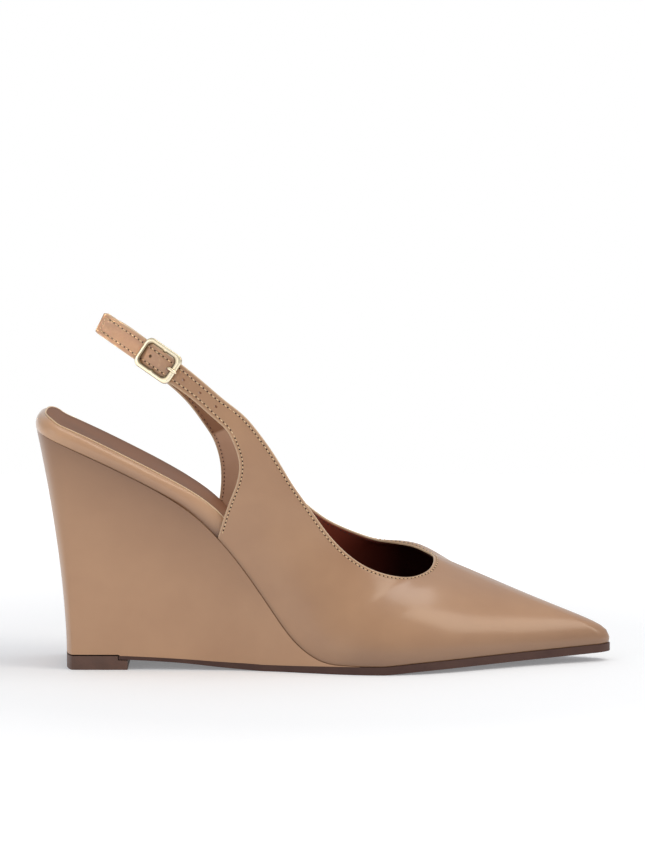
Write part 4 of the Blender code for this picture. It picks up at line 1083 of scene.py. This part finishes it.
stage = dict(
    near="#EDF1F7", far="#FAFCFF", nearGlow="#7C7D7E", farGlow="#A6A6A6", nearEnd=0.84, farStart=0.55,
    roughness=0.7, specular=0.1, size=1.4, front=0.55, back=0.62, turn=0.4, below=1.0,
    horizon=-0.012, horizonEnd=0.12)
camera = dict(
    distance=2000.0, elevation=5.7, centre=(-0.4, 0.0, 94.45), pixelsPerRadian=4947.0, frameHeight=860,
    sensor=36.0)
softboxes = [   # place, aim, width and height in metres, power in watts, roll and spread in degrees
    dict(name="keySoftbox", place=(0.96, -0.44, 1.1), aim=(0.04, 0, 0.03), size=(0.58, 1.25), power=6.6,
         colour="#FFF2E0", roll=18),
    dict(name="topSoftbox", place=(0.42, 0.15, 1.35), aim=(0.04, 0, 0.03), size=(0.6, 0.5), power=2.6,
         colour="#FFF8F0"),
    dict(name="fillSoftbox", place=(-1.15, -1.1, 0.5), aim=(-0.06, 0, 0.13), size=(1.0, 0.6), power=2.2,
         colour="#FFFFFF"),
    dict(name="strapSpot", place=(-0.25, -0.6, 0.25), aim=(-0.092, -0.012, 0.139), size=(0.05, 0.05),
         power=0.0062, colour="#FFF5D2", spread=5, mirrored=False)]


# A pale sheet with a painted glow, dimmer under the shoe, white paper beyond its edge, and a dim room with
# softboxes above
def buildStage():
    half = stage["size"] / 2
    corners = [(-half, -half, 0), (half, -half, 0), (half, half, 0), (-half, half, 0)]
    mesh = bpy.data.meshes.new("studioFloor")
    mesh.from_pydata(corners, [], [(0, 1, 2, 3)])
    sheet = bpy.data.materials.new("paintedGlowSheet")   # matt and pale, with a painted glow that softens the shadows
    sheet.use_nodes = True
    tree = sheet.node_tree
    shader = tree.nodes["Principled BSDF"]
    place = addNode(tree, "ShaderNodeTexCoord").outputs["Object"]
    # One minus the metres from the middle
    spot = addNode(tree, "ShaderNodeTexGradient", links=dict(Vector=place), gradient_type="SPHERICAL")
    # the sheet is painted greyer and glows less under the shoe, as painted shade, and brighter away from it
    for socket, far, near in (("Base Color", "far", "near"), ("Emission Color", "farGlow", "nearGlow")):
        ramp = addNode(tree, "ShaderNodeValToRGB", links=dict(Fac=spot.outputs["Fac"]))
        for stop, position, colour in zip(ramp.color_ramp.elements, ("farStart", "nearEnd"), (far, near)):
            stop.position, stop.color = stage[position], toLinear(stage[colour])
        tree.links.new(ramp.outputs["Color"], shader.inputs[socket])
    shader.inputs["Roughness"].default_value = stage["roughness"]
    shader.inputs["Specular IOR Level"].default_value = stage["specular"]
    shader.inputs["Emission Strength"].default_value = 1.0
    mesh.materials.append(sheet)
    floor = addObject("studioFloor", mesh)
    world = bpy.data.worlds.new("studioRoom")
    bpy.context.scene.world = world
    world.use_nodes = True
    tree = world.node_tree
    place = addNode(tree, "ShaderNodeTexCoord").outputs["Generated"]
    heading = addNode(tree, "ShaderNodeSeparateXYZ", links=dict(Vector=place))
    room = addNode(
        tree, "ShaderNodeMapRange",
        {"From Min": -stage["turn"], "From Max": stage["turn"],
         "To Min": stage["front"], "To Max": stage["back"]},
        dict(Value=heading.outputs["Y"]), interpolation_type="SMOOTHSTEP")
    glow = addNode(
        tree, "ShaderNodeMapRange",
        {"From Min": stage["horizon"], "From Max": stage["horizonEnd"], "To Min": stage["below"]},
        {"Value": heading.outputs["Z"], "To Max": room.outputs["Result"]}, interpolation_type="SMOOTHSTEP")
    tree.links.new(glow.outputs["Result"], tree.nodes["Background"].inputs["Strength"])
    tree.nodes["Background"].inputs["Color"].default_value = (1, 1, 1, 1)
    for box in softboxes:
        light = bpy.data.lights.new(box["name"], "AREA")
        light.shape = "RECTANGLE"
        light.size, light.size_y = box["size"]
        light.energy = box["power"]
        light.color = toLinear(box["colour"])[:3]
        lamp = addObject(box["name"], light)
        lamp.location = box["place"]
        aim = np.array(box["aim"]) - np.array(box["place"])
        tilt, turn = math.acos(-aim[2] / np.linalg.norm(aim)), math.atan2(aim[1], aim[0]) - math.pi / 2
        roll = Matrix.Rotation(math.radians(box.get("roll", 0)), 3, "Z")
        lamp.rotation_euler = (Euler((tilt, 0, turn)).to_matrix() @ roll).to_euler()
        light.spread = math.radians(box.get("spread", 180))
        lamp.visible_glossy = box.get("mirrored", True)


def buildCamera():   # a long lens that looks down on the outer side
    tilt = math.radians(camera["elevation"])
    lens = bpy.data.cameras.new("photoCamera")
    lens.sensor_width = camera["sensor"]
    lens.lens = camera["pixelsPerRadian"] / camera["frameHeight"] * camera["sensor"]
    view = addObject("photoCamera", lens)
    back = camera["distance"] * np.array((0, -math.cos(tilt), math.sin(tilt)))
    view.location = (np.array(camera["centre"]) + back) * mm
    view.rotation_euler = (math.pi / 2 - tilt, 0, 0)
    bpy.context.scene.camera = view


buildStage()
buildCamera()
bpy.context.scene.view_settings.view_transform = "Standard"
print("stage and camera set")
